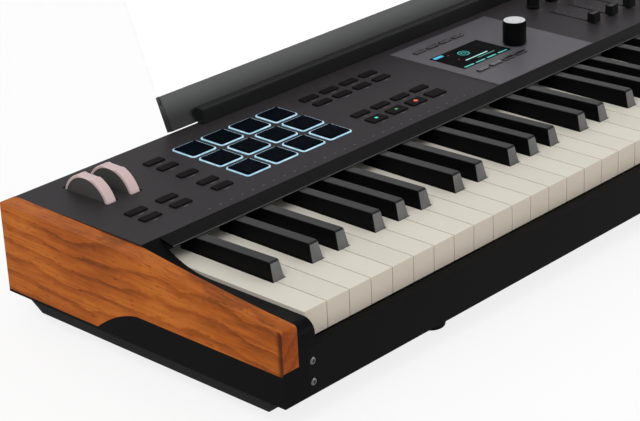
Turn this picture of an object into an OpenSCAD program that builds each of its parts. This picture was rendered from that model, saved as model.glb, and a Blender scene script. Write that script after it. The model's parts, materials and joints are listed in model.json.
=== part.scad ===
// Stage synthesizer with 88 weighted keys, wooden cheeks and a lift-off music rest.
// Everything is drawn from the front left top corner of the lowest white key:
// X runs towards the high notes, Y to the back and Z up. in_frame() then moves it
// so that the origin is at the middle of the footprint, on the surface it stands on.

/* [Keyboard] */
// Width of one white key with its gap
white_pitch = 23.5; // [19:0.1:29]
// Gap between two neighbouring white keys
white_gap = 1; // [0.7:0.1:1.4]
// Length of a white key's visible top
white_len = 150; // [125:1:180]
// Height of a white key's front face
white_front_h = 21.4; // [18:0.2:26]
// Distance from a white key's front to the front of a black key's base
black_start = 51; // [42:1:60]
// Width of a black key at its base
black_base_w = 12.1; // [10:0.1:14]
// Width of a black key's top
black_top_w = 9.5; // [8:0.1:11]
// Height of a black key above the white keys, at its front
black_h = 14.3; // [11:0.1:15]
// How far a white key's front goes down
key_dip = 10; // [8:0.5:12]

/* [Case] */
// Depth of the control panel, from its front edge to the case's back
panel_depth = 147.5; // [142:0.5:180]
// Height of the panel's top above the white keys
panel_top = 16.5; // [16:0.5:20]
// Depth of the case below the white keys
case_depth = 60; // [57:1:80]
// How far the case stands out in front of the white keys
front_reach = 11; // [9:0.5:16]
// Width of each moulded end block
end_block_w = 17.5; // [14:0.5:24]
// Thickness of each wooden cheek
cheek_t = 15.5; // [12:0.5:22]
// Height of the bottom pan
pan_h = 8.4; // [6:0.2:14]
// Height of the rubber feet
foot_h = 11.6; // [8:0.2:18]
// Radius of the rubber feet
foot_r = 12; // [8:0.5:16]

/* [Panel controls] */
// Side of a pad's rubber top
pad_side = 24.2; // [20:0.2:26]
// Distance between two pads
pad_pitch = 32; // [30:0.2:36]
// Length of a panel button
button_w = 18.5; // [14:0.5:21]
// Depth of a panel button
button_d = 8; // [6:0.5:10]
// Radius of the pitch and modulation wheels
wheel_r = 27.2; // [24:0.2:28]
// Width of a wheel's rim
wheel_w = 9.5; // [7:0.5:11]
// Radius of the main encoder's knob
encoder_r = 11; // [8:0.5:12]
// Height of the main encoder's knob
encoder_h = 22; // [14:0.5:26]
// Radius of the small knobs
knob_r = 6.5; // [5:0.25:9]
// Distance between two fader columns
fader_pitch = 28.5; // [24:0.5:34]
// Travel of a fader
fader_travel = 50; // [30:1:52]

/* [Music rest] */
// Length of the music rest's bar
rest_len = 928; // [600:4:1100]
// Height of the clear panel, measured up its slope
rest_panel_h = 160; // [100:5:220]
// Lean of the music rest, back from upright
rest_lean = 22; // [10:1:30]

/* [Hidden] */
$fn = 48;

// Compass: 52 white keys from A, so a white key's letter is its number modulo 7.
white_count = 52;
A = 0;
B = 1;
C = 2;
D = 3;
E = 4;
F = 5;
G = 6;

// Case, in the keyboard's own axes
keys_w = white_count * white_pitch;
side_gap = 1;
block_in = -side_gap;
block_out = block_in - end_block_w;
cheek_out = block_out - cheek_t;
front_y = -front_reach;
panel_y = white_len - 2;
rear_y = panel_y + panel_depth;
case_z = -case_depth;
pan_z = case_z - pan_h;
floor_z = pan_z - foot_h;
sheet = 2;
panel_under = panel_top - sheet;

// Origin: the rest's clear panel reaches further back than the case.
rest_t = 7;
rest_bar_h = 33;
rest_y = rear_y - 3;
rest_panel_t = 3;
rest_back = rest_y + (rest_t + rest_panel_t) / 2 * cos(rest_lean)
    + (rest_bar_h + rest_panel_h) * sin(rest_lean);
origin_x = keys_w / 2;
origin_y = (front_y + max(rest_back, rear_y)) / 2;

// Keys
key_top_t = 5;
lever_top = -key_top_t;
lever_h = 14;
lever_bottom = lever_top - lever_h;
lever_inset = 2;
black_gap = 1;
black_rear_drop = 2.5;
black_front_run = 3.5;
pivot_y = white_len + 62;
pivot_z = lever_top - lever_h / 2;
pivot_r = 1.5;
running_gap = 0.08;
lever_end = pivot_y + 8;
bed_z = -50;
bed_t = 2;
// A rail under the fronts of the white keys and another under the fronts of the black keys.
// Each holds one guide blade per key, between the rail's two edges.
white_front = 3;
black_front = black_start + 3;
rail_inset = 11;
rail_depth = 20;
blade_t = 2;
blade_inset = 6;
blade_enter = 4;

// Boards and controls under the panel, from the panel's front edge
board_top = panel_top - 10.9;
board_t = 1.6;
button_rise = 1.3;
button_travel = 0.8;
button_gap = 0.4;
switch_h = 2;
button_foot = board_top + switch_h + button_travel + 0.1;
pad_rise = 1.8;
pad_travel = 1;
pad_wall = 1.1;
pad_gap = 0.3;
pad_cols = [0, 1, 2, 3];
pad_rows = [0, 1, 2];
pad_first = [135, panel_y + 42.5];
pad_row_pitch = pad_pitch - 0.4;
bezel_x = [403, 540];
bezel_depth = 129;
bezel_t = 0.6;
bezel_top = panel_top + bezel_t;
window_at = [448.7, panel_y + 70.7];
window_size = [67.5, 42.5];
window_gap = 0.15;
encoder_at = [495.9, panel_y + 57];
encoder_lift = 1;
shaft_r = 3;
knob_h = 15;
knob_lift = 1.3;
fader_first_x = 589;
knob_row_y = panel_y + 108;
fader_row_y = panel_y + 35;
fader_count = 9;
cap_size = [10, 9, 10];
cap_lift = 1;
stem = [1.4, 4];
slot_w = 2.4;
wheel_y = panel_y + 104;
wheel_z = panel_top + 16.8 - wheel_r;
wheel_first_x = 21.5;
wheel_pitch = 24.8;
axle_r = 3;
wheel_gap = 1.4;
carrier_t = 2.5;

left_button_at = [
    [20, 49], [20, 32.7], [52, 49], [52, 33], [96, 112], [96, 95.8], [96, 72.5], [96, 49], [96, 32.7]
];
centre_button_x = [277, 302.4, 327.8, 353.2];
centre_button_y = [111.3, 95.2, 50.5];
transport_y = 32;
transport_d = 12;
display_button_x = [424.5, 442.5, 460.5, 478.5];
display_button_y = [36, 111.5];
display_button = [14.5, 5];

// Connectors on the back
jack_x = [90, 115, 140, 165];
jack_r = 3.2;
jack_depth = 15;
din_x = [205, 235];
din_r = 7;
din_depth = 7;
usb_x = 270;
usb_size = [12, 11];
inlet_x = 300;
inlet_r = 3;
socket_z = -21;
socket_depth = 17;

foot_inset = [158, 20];
foot_rear_y = rear_y - 45;
screw_r = 2;

// --- helpers ---------------------------------------------------------------

module in_frame() {
    translate([-origin_x, -origin_y, -floor_z]) children();
}

// A block from one corner to the opposite one
module block(low, high) {
    translate(low) cube(high - low);
}

// A profile given as [y, z], drawn along X from x0 to x1
module along_x(x0, x1) {
    translate([x0, 0, 0]) rotate([90, 0, 90]) linear_extrude(x1 - x0) children();
}

module round_rect(w, d, r) {
    square([w - 2 * r, d], center = true);
    square([w, d - 2 * r], center = true);
    for (x = [-1, 1], y = [-1, 1]) translate([x * (w / 2 - r), y * (d / 2 - r)]) circle(r);
}

module round_plate(at, w, d, r, z0, z1) {
    translate([at[0], at[1], z0]) linear_extrude(z1 - z0) round_rect(w, d, r);
}

module post(at, r, z0, z1) {
    translate([at[0], at[1], z0]) cylinder(r = r, h = z1 - z0);
}

module pin_x(r, x0, x1, y, z) {
    translate([x0, y, z]) rotate([0, 90, 0]) cylinder(r = r, h = x1 - x0);
}

module pin_y(r, y0, y1, x, z) {
    translate([x, y0, z]) rotate([-90, 0, 0]) cylinder(r = r, h = y1 - y0);
}

// Draws its children at the left end and mirrored at the right end
module at_end(right) {
    if (right) translate([keys_w, 0, 0]) mirror([1, 0, 0]) children();
    else children();
}

// --- keyboard rules --------------------------------------------------------

function letter(i) = i % 7;

// A black key follows every white key but B, E and the last one.
function has_black(i) = i >= 0 && i < white_count - 1 && letter(i) != B && letter(i) != E;

// A black key's middle stands off the line between its two white keys.
function black_shift(i) =
    letter(i) == C ? -0.1 :
    letter(i) == D ? 0.1 :
    letter(i) == F ? -0.143 :
    letter(i) == A ? 0.143 : 0;
function black_x(i) = (i + 1 + black_shift(i)) * white_pitch;
black_half = black_base_w / 2 + black_gap;

// Left and right side of a white key beside the black keys
function tail_left(i) = has_black(i - 1) ? black_x(i - 1) + black_half : i * white_pitch + white_gap / 2;
function tail_right(i) = has_black(i) ? black_x(i) - black_half : (i + 1) * white_pitch - white_gap / 2;
function tail_x(i) = (tail_left(i) + tail_right(i)) / 2;

// Front edge of the rail under a lever, and its height 1 mm under the pressed lever
function rail_y(front) = front + (front == white_front ? rail_inset : 0);
function stop_z(front) = lever_bottom - key_dip * (pivot_y - rail_y(front)) / pivot_y - 1;

// A lever from the key's front to behind the pivot, with its bore and the slot of its guide blade
module lever(x, w, front) {
    blade_y = rail_y(front) + blade_inset;
    difference() {
        block([x - w / 2, front, lever_bottom], [x + w / 2, lever_end, lever_top]);
        pin_x(pivot_r + running_gap, x - w, x + w, pivot_y, pivot_z);
        block(
            [x - blade_t / 2 - 0.5, blade_y - 1, lever_bottom - 1],
            [x + blade_t / 2 + 0.5, blade_y + rail_depth - 2 * blade_inset + 1, lever_top - 0.4]
        );
    }
}

module white_key(i) {
    left = i * white_pitch + white_gap / 2;
    right = (i + 1) * white_pitch - white_gap / 2;
    shoulder = black_start - black_gap;
    block([left, 0, -key_top_t], [right, shoulder, 0]);
    block([tail_left(i), shoulder - 1, -key_top_t], [tail_right(i), white_len, 0]);
    block([left, 0, -white_front_h], [right, 3, 0]);
    lever(tail_x(i), tail_right(i) - tail_left(i) - 2 * lever_inset, white_front);
}

// Height of a black key's top at a distance from the white keys' front
black_crest = black_start + black_front_run + 1.5;
function black_rise(y) = black_h - black_rear_drop * (y - black_crest) / (white_len - black_crest);

module black_key(i) {
    x = black_x(i);
    top = black_h - black_rear_drop;
    translate([x, 0, 0]) intersection() {
        translate([0, white_len, 0]) rotate([90, 0, 0]) linear_extrude(white_len - black_start)
            polygon([
                [-black_base_w / 2, -key_top_t], [black_base_w / 2, -key_top_t], [black_base_w / 2, 0],
                [black_top_w / 2, black_h + 0.5], [-black_top_w / 2, black_h + 0.5], [-black_base_w / 2, 0]
            ]);
        along_x(-black_base_w, black_base_w) polygon([
            [black_start, -key_top_t], [white_len, -key_top_t], [white_len, top],
            [black_crest, black_h], [black_start + black_front_run, black_h - 1.2],
            [black_start, 0]
        ]);
    }
    lever(x, black_base_w - 2 * lever_inset + 1, black_front);
}

module white_group(name) {
    color([0.9, 0.88, 0.84]) in_frame()
        for (i = [0:white_count - 1]) if (letter(i) == name) white_key(i);
}

module black_group(name) {
    color([0.1, 0.1, 0.1]) in_frame()
        for (i = [0:white_count - 1]) if (letter(i) == name && has_black(i)) black_key(i);
}

module keys_a() { white_group(A); }
module keys_b() { white_group(B); }
module keys_c() { white_group(C); }
module keys_d() { white_group(D); }
module keys_e() { white_group(E); }
module keys_f() { white_group(F); }
module keys_g() { white_group(G); }
module keys_a_sharp() { black_group(A); }
module keys_c_sharp() { black_group(C); }
module keys_d_sharp() { black_group(D); }
module keys_f_sharp() { black_group(F); }
module keys_g_sharp() { black_group(G); }

// Middle of every key's lever
white_lever_x = [for (i = [0:white_count - 1]) tail_x(i)];
black_lever_x = [for (i = [0:white_count - 1]) if (has_black(i)) black_x(i)];

// Uprights stand where two white keys meet with no black key between them.
upright_x = [
    1.1, for (i = [0:white_count - 2]) if (!has_black(i)) (i + 1) * white_pitch, keys_w - 1.1
];

module guide_rail(front, levers) {
    y = rail_y(front);
    top = stop_z(front);
    block([0, y, bed_z + bed_t - 1], [keys_w, y + rail_depth, top]);
    for (x = levers)
        block([x - blade_t / 2, y + blade_inset, top - 1],
            [x + blade_t / 2, y + rail_depth - blade_inset, lever_bottom + blade_enter]);
}

module key_frame() {
    color([0.62, 0.63, 0.65]) in_frame() {
        difference() {
            union() {
                block([0, 10, bed_z], [keys_w, lever_end + 3, bed_z + bed_t]);
                guide_rail(white_front, white_lever_x);
                guide_rail(black_front, black_lever_x);
                for (x = upright_x)
                    block([x - 1, pivot_y - 9, bed_z + bed_t - 1], [x + 1, pivot_y + 9, pivot_z + 8]);
                // Feet of the frame stand on the pan's floor.
                for (x = [60:(keys_w - 120) / 4:keys_w - 59], y = [40, 190])
                    post([x, y], 6, pan_z + sheet, bed_z + 1);
            }
            for (x = upright_x)
                pin_x(pivot_r + running_gap, x - 2, x + 2, pivot_y, pivot_z);
        }
        pin_x(pivot_r, 0.2, keys_w - 0.2, pivot_y, pivot_z);
    }
}

felt_y = [white_len + 1.2, white_len + 22];
felt_z = [lever_top + 0.3, 0.5];

module key_felts() {
    color([0.75, 0.74, 0.72]) in_frame() {
        block([0, felt_y[0], felt_z[0]], [keys_w, felt_y[1], felt_z[1]]);
        // Strips of felt that the pressed keys land on, in front of the guide blades
        for (front = [white_front, black_front])
            block(
                [0, rail_y(front), stop_z(front)],
                [keys_w, rail_y(front) + blade_inset - 1, stop_z(front) + 0.6]
            );
    }
}

spring_w = 4;
spring_y = [white_len + 30, white_len + 46];

// One bent leaf under each lever
module key_springs() {
    color([0.8, 0.78, 0.7]) in_frame()
        for (x = concat(white_lever_x, black_lever_x)) along_x(x - spring_w / 2, x + spring_w / 2) polygon([
            [spring_y[1], bed_z + bed_t], [spring_y[1] + 4, bed_z + bed_t],
            [spring_y[1] + 4, bed_z + bed_t + 0.5], [spring_y[1] + 0.6, bed_z + bed_t + 0.5],
            [spring_y[0] + 0.8, lever_bottom - 0.3], [spring_y[0] - 4, lever_bottom - 0.3],
            [spring_y[0] - 4, lever_bottom - 0.8], [spring_y[0] + 0.3, lever_bottom - 0.8]
        ]);
}

// --- case ------------------------------------------------------------------

// The bottom pan's section: its front edge stands back from the keys and its back wall slopes.
pan_front_y = 5;
pan_fold = 2;
pan_rear = [38, 24];
pan_wall_rear = 42;
pan_section = [
    [pan_front_y, case_z], [pan_front_y, pan_z + pan_fold], [pan_front_y + pan_fold, pan_z],
    [rear_y - pan_rear[0], pan_z], [rear_y - pan_rear[1], case_z]
];

pan_screw_x = [for (n = [0:3]) 60 + n * (keys_w - 120) / 3];
pan_screw_y = rear_y - 40.2;

module bottom_pan() {
    color([0.23, 0.23, 0.24]) in_frame() difference() {
        along_x(cheek_out + 1, keys_w - cheek_out - 1) polygon(pan_section);
        along_x(cheek_out + 1 + sheet, keys_w - cheek_out - 1 - sheet) polygon([
            [pan_front_y + sheet, case_z + 1], [pan_front_y + sheet, pan_z + sheet],
            [rear_y - pan_wall_rear, pan_z + sheet], [rear_y - pan_wall_rear, case_z + 1]
        ]);
        for (x = pan_screw_x) post([x, pan_screw_y], screw_r + 0.1, pan_z - 1, case_z + 1);
    }
}

rail_top = -white_front_h - 0.6;
rail_t = 3;
rail_lap = 8.5;
rail_screw_z = [rail_top - 11.5, rail_top - 28.3];

module front_rail() {
    color([0.12, 0.12, 0.12]) in_frame() difference() {
        union() {
            block(
                [block_in - rail_lap, front_y, case_z],
                [keys_w - block_in + rail_lap, front_y + rail_t, rail_top]
            );
            block([block_in + 0.5, front_y, rail_top - 2], [keys_w - block_in - 0.5, -1.2, rail_top]);
            block([block_in + 0.5, front_y, case_z], [keys_w - block_in - 0.5, 9, case_z + sheet]);
        }
        for (right = [false, true]) at_end(right) for (z = rail_screw_z) {
            pin_y(screw_r + 0.1, front_y - 1, front_y + rail_t + 1, -4, z);
            pin_y(screw_r + 1.2, front_y - 1, front_y + 1.6, -4, z);
        }
    }
}

// Section of the end block: a rounded nose, a low deck beside the keys and a hollow sweep up to the panel
nose_r = 10;
deck_z = -2;
sweep_start = 95;
sweep_rise = panel_top - deck_z;
sweep_run = panel_y - sweep_start;
sweep_r = (sweep_run * sweep_run + sweep_rise * sweep_rise) / (2 * sweep_rise);
sweep_angle = asin(sweep_run / sweep_r);

function block_section(foot) = concat(
    [[front_y, foot]],
    [for (a = [180:-15:90]) [front_y + nose_r + nose_r * cos(a), deck_z - nose_r + nose_r * sin(a)]],
    [for (s = [0:0.125:1])
        [sweep_start + sweep_r * sin(s * sweep_angle), deck_z + sweep_r - sweep_r * cos(s * sweep_angle)]],
    [[panel_y, panel_under], [rear_y - sheet, panel_under], [rear_y - sheet, foot]]
);

// Section of the wooden cheek
cheek_kink_y = white_len - 5;
cheek_kink_z = panel_top - 1.5;
cheek_front_z = 0.5;
cheek_under = -35;
cheek_under_y = 142;
cheek_heel_y = 189;
cheek_nose = 3;
cheek_heel_z = case_z + 2;

function cheek_top(y) = cheek_front_z
    + (cheek_kink_z - cheek_front_z) * pow((y - front_y) / (cheek_kink_y - front_y), 1.3);

// The underside bends down to the heel like a quarter of a superellipse.
function cheek_underside(s) = [
    cheek_under_y + (cheek_heel_y - cheek_under_y) * s,
    cheek_under + (cheek_heel_z - cheek_under) * (0.35 * s + 0.65 * s * s)
];

cheek_lower = concat(
    [[front_y, cheek_under + cheek_nose]],
    [for (a = [195:15:270])
        [front_y + cheek_nose + cheek_nose * cos(a), cheek_under + cheek_nose + cheek_nose * sin(a)]],
    [for (s = [0:0.1:1]) cheek_underside(s)]
);

cheek_section = concat(
    cheek_lower,
    [[rear_y, cheek_heel_z], [rear_y, panel_top + 0.3]],
    [for (y = [cheek_kink_y:-12:front_y + 6]) [y, cheek_top(y)]],
    [for (a = [90:15:180])
        [front_y + cheek_nose + cheek_nose * cos(a), cheek_top(front_y) - cheek_nose + cheek_nose * sin(a)]]
);

cheek_screw_y = [30, 110, 250];
cheek_screw_z = -22;
block_wall = 3;

module end_block() {
    difference() {
        union() {
            along_x(block_out, block_in) polygon(block_section(case_z));
            // The lower skirt under the cheek follows its underside.
            along_x(cheek_out, block_out + 0.01) difference() {
                polygon([
                    [front_y, case_z], [front_y, cheek_under + cheek_nose],
                    [rear_y, cheek_under + cheek_nose], [rear_y, case_z]
                ]);
                polygon(cheek_section);
            }
        }
        // Seat of the front rail
        block([block_in - rail_lap - 0.1, front_y - 1, case_z - 1], [1, front_y + rail_t, rail_top + 0.1]);
        for (z = rail_screw_z) pin_y(screw_r + 0.1, front_y, front_y + 14, -4, z);
        // Hollow inside, open towards the keys, with a deep floor so that the screws have a wall
        block([block_out + block_wall, 20, case_z + 3], [1, rear_y - 12, deck_z - 6]);
        for (y = cheek_screw_y) pin_x(screw_r + 0.1, block_out - 1, block_in + 1, y, cheek_screw_z);
    }
}

module left_end_block() {
    color([0.08, 0.08, 0.09]) in_frame() end_block();
}

module right_end_block() {
    color([0.08, 0.08, 0.09]) in_frame() at_end(true) end_block();
}

module wood_cheek() {
    difference() {
        along_x(cheek_out, block_out) polygon(cheek_section);
        for (y = cheek_screw_y) pin_x(screw_r + 0.1, block_out - 9, block_out + 1, y, cheek_screw_z);
    }
}

module left_wood_cheek() {
    color([0.6, 0.32, 0.15]) in_frame() wood_cheek();
}

module right_wood_cheek() {
    color([0.6, 0.32, 0.15]) in_frame() at_end(true) wood_cheek();
}

// Outline of every hole that a control needs, with the given play
module button_holes(z0, z1, play) {
    for (p = left_button_at)
        round_plate([p[0], panel_y + p[1]], button_w + 2 * play, button_d + 2 * play, 1 + play, z0, z1);
    for (x = centre_button_x) {
        for (y = centre_button_y)
            round_plate([x, panel_y + y], button_w + 2 * play, button_d + 2 * play, 1 + play, z0, z1);
        round_plate(
            [x, panel_y + transport_y], button_w + 2 * play, transport_d + 2 * play, 1 + play, z0, z1
        );
    }
}

module display_button_holes(z0, z1, play) {
    for (x = display_button_x, y = display_button_y)
        round_plate(
            [x, panel_y + y], display_button[0] + 2 * play, display_button[1] + 2 * play, 0.8 + play, z0, z1
        );
}

function pad_at(col, row) = [pad_first[0] + col * pad_pitch, pad_first[1] + row * pad_row_pitch];
pad_frame_side = pad_side + 2 * (pad_gap + pad_wall);
wheel_slot_len = ceil(2 * sqrt(pow(wheel_r, 2) - pow(panel_under - wheel_z, 2)) + 3);
function fader_x(n) = fader_first_x + (n - 1) * fader_pitch;
rest_peg_x = [keys_w / 2 - rest_len / 2 + 120, keys_w / 2 + rest_len / 2 - 120];
rest_peg = [24, 3];
rest_peg_y = rest_y - 3;

// Posts that carry the control board under the panel
board_post_at = [
    for (x = [66, 112, 256, 392, 560, 700, 836]) [x, panel_y + 20],
    for (x = [112, 256, 392, 560, 836]) [x, panel_y + 123]
];

// Ledge along the panel's front edge, which slopes down over the rear of the keys
ledge_d = 15;
ledge_lip = 1;
ledge_y = panel_y - ledge_d;
ledge_z = black_rise(ledge_y) + 0.45;

module top_panel() {
    color([0.26, 0.25, 0.26]) in_frame() difference() {
        union() {
            block([block_out, panel_y, panel_under], [keys_w - block_out, rear_y, panel_top]);
            along_x(block_in, keys_w - block_in) polygon([
                [ledge_y, ledge_z], [panel_y + 1, ledge_z], [panel_y + 1, panel_top], [panel_y, panel_top],
                [ledge_y, ledge_z + ledge_lip]
            ]);
            block(
                [block_in, panel_y, panel_top - 3.3], [keys_w - block_in, white_len + 3.5, panel_under + 0.5]
            );
            block(
                [block_in, white_len + 1.3, 1], [keys_w - block_in, white_len + 3.5, panel_under + 0.5]
            );
            for (p = board_post_at) post(p, 3, board_top, panel_under + 0.5);
        }
        button_holes(panel_under - 1, panel_top + 1, button_gap);
        display_button_holes(panel_under - 1, panel_top + 1, button_gap);
        for (c = pad_cols, r = pad_rows)
            round_plate(
                pad_at(c, r), pad_frame_side + 0.3, pad_frame_side + 0.3, 3, panel_under - 1, panel_top + 1
            );
        round_plate(
            window_at, window_size[0] + 2 * window_gap, window_size[1] + 2 * window_gap, 1,
            panel_under - 1, panel_top + 1
        );
        post(encoder_at, shaft_r + 0.8, panel_under - 1, panel_top + 1);
        for (n = [1:fader_count]) {
            post([fader_x(n), knob_row_y], shaft_r + 0.6, panel_under - 1, panel_top + 1);
            block(
                [fader_x(n) - slot_w / 2, fader_row_y - stem[1] / 2 - 1, panel_under - 1],
                [fader_x(n) + slot_w / 2, fader_row_y + fader_travel + stem[1] / 2 + 1, panel_top + 1]
            );
        }
        for (n = [0, 1])
            round_plate(
                [wheel_first_x + n * wheel_pitch, wheel_y], wheel_w + 2 * wheel_gap, wheel_slot_len, 1.5,
                panel_under - 1, panel_top + 1
            );
        for (x = rest_peg_x)
            round_plate([x, rest_peg_y], rest_peg[0] + 1, rest_peg[1] + 1, 1, panel_under - 1, panel_top + 1);
    }
}

module display_bezel() {
    color([0.42, 0.42, 0.44]) in_frame() difference() {
        block([bezel_x[0], panel_y, panel_top], [bezel_x[1], panel_y + bezel_depth, bezel_top]);
        display_button_holes(panel_top - 1, bezel_top + 1, button_gap);
        round_plate(
            window_at, window_size[0] + 2 * window_gap, window_size[1] + 2 * window_gap, 1,
            panel_top - 1, bezel_top + 1
        );
        post(encoder_at, shaft_r + 0.8, panel_top - 1, bezel_top + 1);
    }
}

window_foot = panel_under + 0.2;

module display_window() {
    color([0.05, 0.06, 0.08]) in_frame()
        round_plate(window_at, window_size[0], window_size[1], 1, window_foot, bezel_top + 0.1);
}

module rear_panel() {
    color([0.12, 0.12, 0.13]) in_frame() difference() {
        union() {
            block([block_out, rear_y - sheet, case_z], [keys_w - block_out, rear_y, panel_under]);
            block(
                [block_in + 0.5, rear_y - 46, case_z], [keys_w - block_in - 0.5, rear_y - 1, case_z + sheet]
            );
        }
        for (x = pan_screw_x) post([x, pan_screw_y], screw_r + 0.1, case_z - 1, case_z + sheet + 1);
        for (x = jack_x) pin_y(jack_r + 1.8, rear_y - 4, rear_y + 1, x, socket_z);
        for (x = din_x) pin_y(din_r + 1.6, rear_y - 4, rear_y + 1, x, socket_z);
        block([usb_x - 6.4, rear_y - 4, socket_z - 5.9], [usb_x + 6.4, rear_y + 1, socket_z + 5.9]);
        pin_y(inlet_r + 2.2, rear_y - 4, rear_y + 1, inlet_x, socket_z);
    }
}

// --- electronics -----------------------------------------------------------

module switches(p) {
    block([p[0] - 3, p[1] - 2.5, board_top - 0.01], [p[0] + 3, p[1] + 2.5, board_top + switch_h]);
}

board_right = fader_x(fader_count) + 30;
contact_z = bed_z + bed_t + 8;
contact_d = 43;
contact_y = rail_y(black_front) + rail_depth + 21;
axle_overhang = 1;
carrier_right = wheel_first_x + 1.5 * wheel_pitch + carrier_t / 2 + axle_overhang;

module circuit_boards() {
    color([0.1, 0.35, 0.2]) in_frame() {
        // Control board, with a corner left out for the wheels
        translate([0, 0, board_top - board_t]) linear_extrude(board_t) polygon([
            [5, panel_y + 12], [board_right, panel_y + 12], [board_right, panel_y + 130],
            [carrier_right + 2, panel_y + 130], [carrier_right + 2, panel_y + 62], [5, panel_y + 62]
        ]);
        for (p = left_button_at) switches([p[0], panel_y + p[1]]);
        for (x = centre_button_x, y = concat(centre_button_y, transport_y)) switches([x, panel_y + y]);
        for (x = display_button_x, y = display_button_y) switches([x, panel_y + y]);
        // Display module under the window
        block(
            [window_at[0] - window_size[0] / 2 + 1, window_at[1] - window_size[1] / 2 + 1, board_top - 0.01],
            [window_at[0] + window_size[0] / 2 - 1, window_at[1] + window_size[1] / 2 - 1, window_foot - 0.1]
        );
        // Contact board behind the guide rails, with its rubber strip
        block([4, contact_y, contact_z], [keys_w - 4, contact_y + contact_d, contact_z + board_t]);
        block(
            [6, contact_y + 10, contact_z + board_t], [keys_w - 6, contact_y + 30, lever_bottom - 6.5]
        );
        for (x = [70:(keys_w - 140) / 5:keys_w - 69])
            post([x, contact_y + contact_d - 5], 4, bed_z + bed_t, contact_z);
        // Connector board at the back
        block(
            [jack_x[0] - 14, rear_y - 45, socket_z - 11], [inlet_x + 16, rear_y - sheet - 1, socket_z - 9.4]
        );
    }
}

pot_h = 7;

module control_pots() {
    color([0.5, 0.5, 0.52]) in_frame() {
        for (n = [1:fader_count]) {
            // Rotary pot: a square can whose bush holds the spindle
            difference() {
                block(
                    [fader_x(n) - 5.5, knob_row_y - 5.5, board_top],
                    [fader_x(n) + 5.5, knob_row_y + 5.5, board_top + pot_h]
                );
                post([fader_x(n), knob_row_y], shaft_r + running_gap, board_top + 1.5, board_top + pot_h + 1);
            }
            // Slide pot: a long can with a channel for the stem
            difference() {
                block(
                    [fader_x(n) - 4.5, fader_row_y - 9, board_top],
                    [fader_x(n) + 4.5, fader_row_y + fader_travel + 9, board_top + pot_h]
                );
                block(
                    [fader_x(n) - slot_w / 2, fader_row_y - stem[1] / 2 - 1, board_top + 1.5],
                    [
                        fader_x(n) + slot_w / 2, fader_row_y + fader_travel + stem[1] / 2 + 1,
                        board_top + pot_h + 1
                    ]
                );
            }
        }
        // Encoder can with the bush of its push shaft
        difference() {
            block(
                [encoder_at[0] - 6.5, encoder_at[1] - 6.5, board_top],
                [encoder_at[0] + 6.5, encoder_at[1] + 6.5, board_top + pot_h]
            );
            post(encoder_at, shaft_r + running_gap, board_top + 1.5, board_top + pot_h + 1);
        }
    }
}

module rear_sockets() {
    color([0.15, 0.15, 0.16]) in_frame() {
        low = socket_z - 9.4;
        for (x = jack_x) difference() {
            union() {
                block([x - 8, rear_y - sheet - socket_depth, low], [x + 8, rear_y - sheet, socket_z + 8]);
                pin_y(jack_r + 1.6, rear_y - sheet - 1, rear_y, x, socket_z);
            }
            pin_y(jack_r, rear_y - jack_depth, rear_y + 1, x, socket_z);
        }
        for (x = din_x) difference() {
            union() {
                block([x - 10, rear_y - sheet - 12, low], [x + 10, rear_y - sheet, socket_z + 9.4]);
                pin_y(din_r + 1.4, rear_y - sheet - 1, rear_y, x, socket_z);
            }
            pin_y(din_r, rear_y - din_depth, rear_y + 1, x, socket_z);
            for (a = [-90:45:90])
                pin_y(0.8, rear_y - din_depth - 4, rear_y, x + 4.5 * sin(a), socket_z - 4.5 * cos(a));
        }
        difference() {
            union() {
                block([usb_x - 8, rear_y - sheet - 15, low], [usb_x + 8, rear_y - sheet, socket_z + 7]);
                block(
                    [usb_x - 6.2, rear_y - sheet - 1, socket_z - 5.7], [usb_x + 6.2, rear_y, socket_z + 5.7]
                );
            }
            difference() {
                block([usb_x - 4.4, rear_y - 11, socket_z - 4.1], [usb_x + 4.4, rear_y + 1, socket_z + 4.1]);
                block(
                    [usb_x - 2.8, rear_y - 12, socket_z - 1.6], [usb_x + 2.8, rear_y - 1.5, socket_z + 1.6]
                );
            }
        }
        difference() {
            union() {
                block([inlet_x - 7, rear_y - sheet - 12, low], [inlet_x + 7, rear_y - sheet, socket_z + 6]);
                pin_y(inlet_r + 2, rear_y - sheet - 1, rear_y, inlet_x, socket_z);
            }
            difference() {
                pin_y(inlet_r, rear_y - 10, rear_y + 1, inlet_x, socket_z);
                pin_y(1, rear_y - 11, rear_y - 1.5, inlet_x, socket_z);
            }
        }
    }
}

module pad_light_frames() {
    color([0.65, 0.85, 0.9]) in_frame() for (c = pad_cols, r = pad_rows) difference() {
        round_plate(pad_at(c, r), pad_frame_side, pad_frame_side, 2.8, board_top, panel_top + 0.9);
        round_plate(
            pad_at(c, r), pad_side + 2 * pad_gap, pad_side + 2 * pad_gap, 1.8, board_top - 1, panel_top + 2
        );
    }
}

// --- small parts -----------------------------------------------------------

foot_at = [
    for (x = [foot_inset[0], keys_w - foot_inset[0]], y = [foot_inset[1], foot_rear_y]) [x, y]
];

module rubber_feet() {
    color([0.06, 0.06, 0.06]) in_frame() for (p = foot_at) {
        translate([p[0], p[1], floor_z]) rotate_extrude($fn = 64) polygon([
            [0, 0], [foot_r - 1.5, 0], [foot_r - 0.4, 1.1], [foot_r, foot_h], [0, foot_h]
        ]);
    }
}

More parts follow.
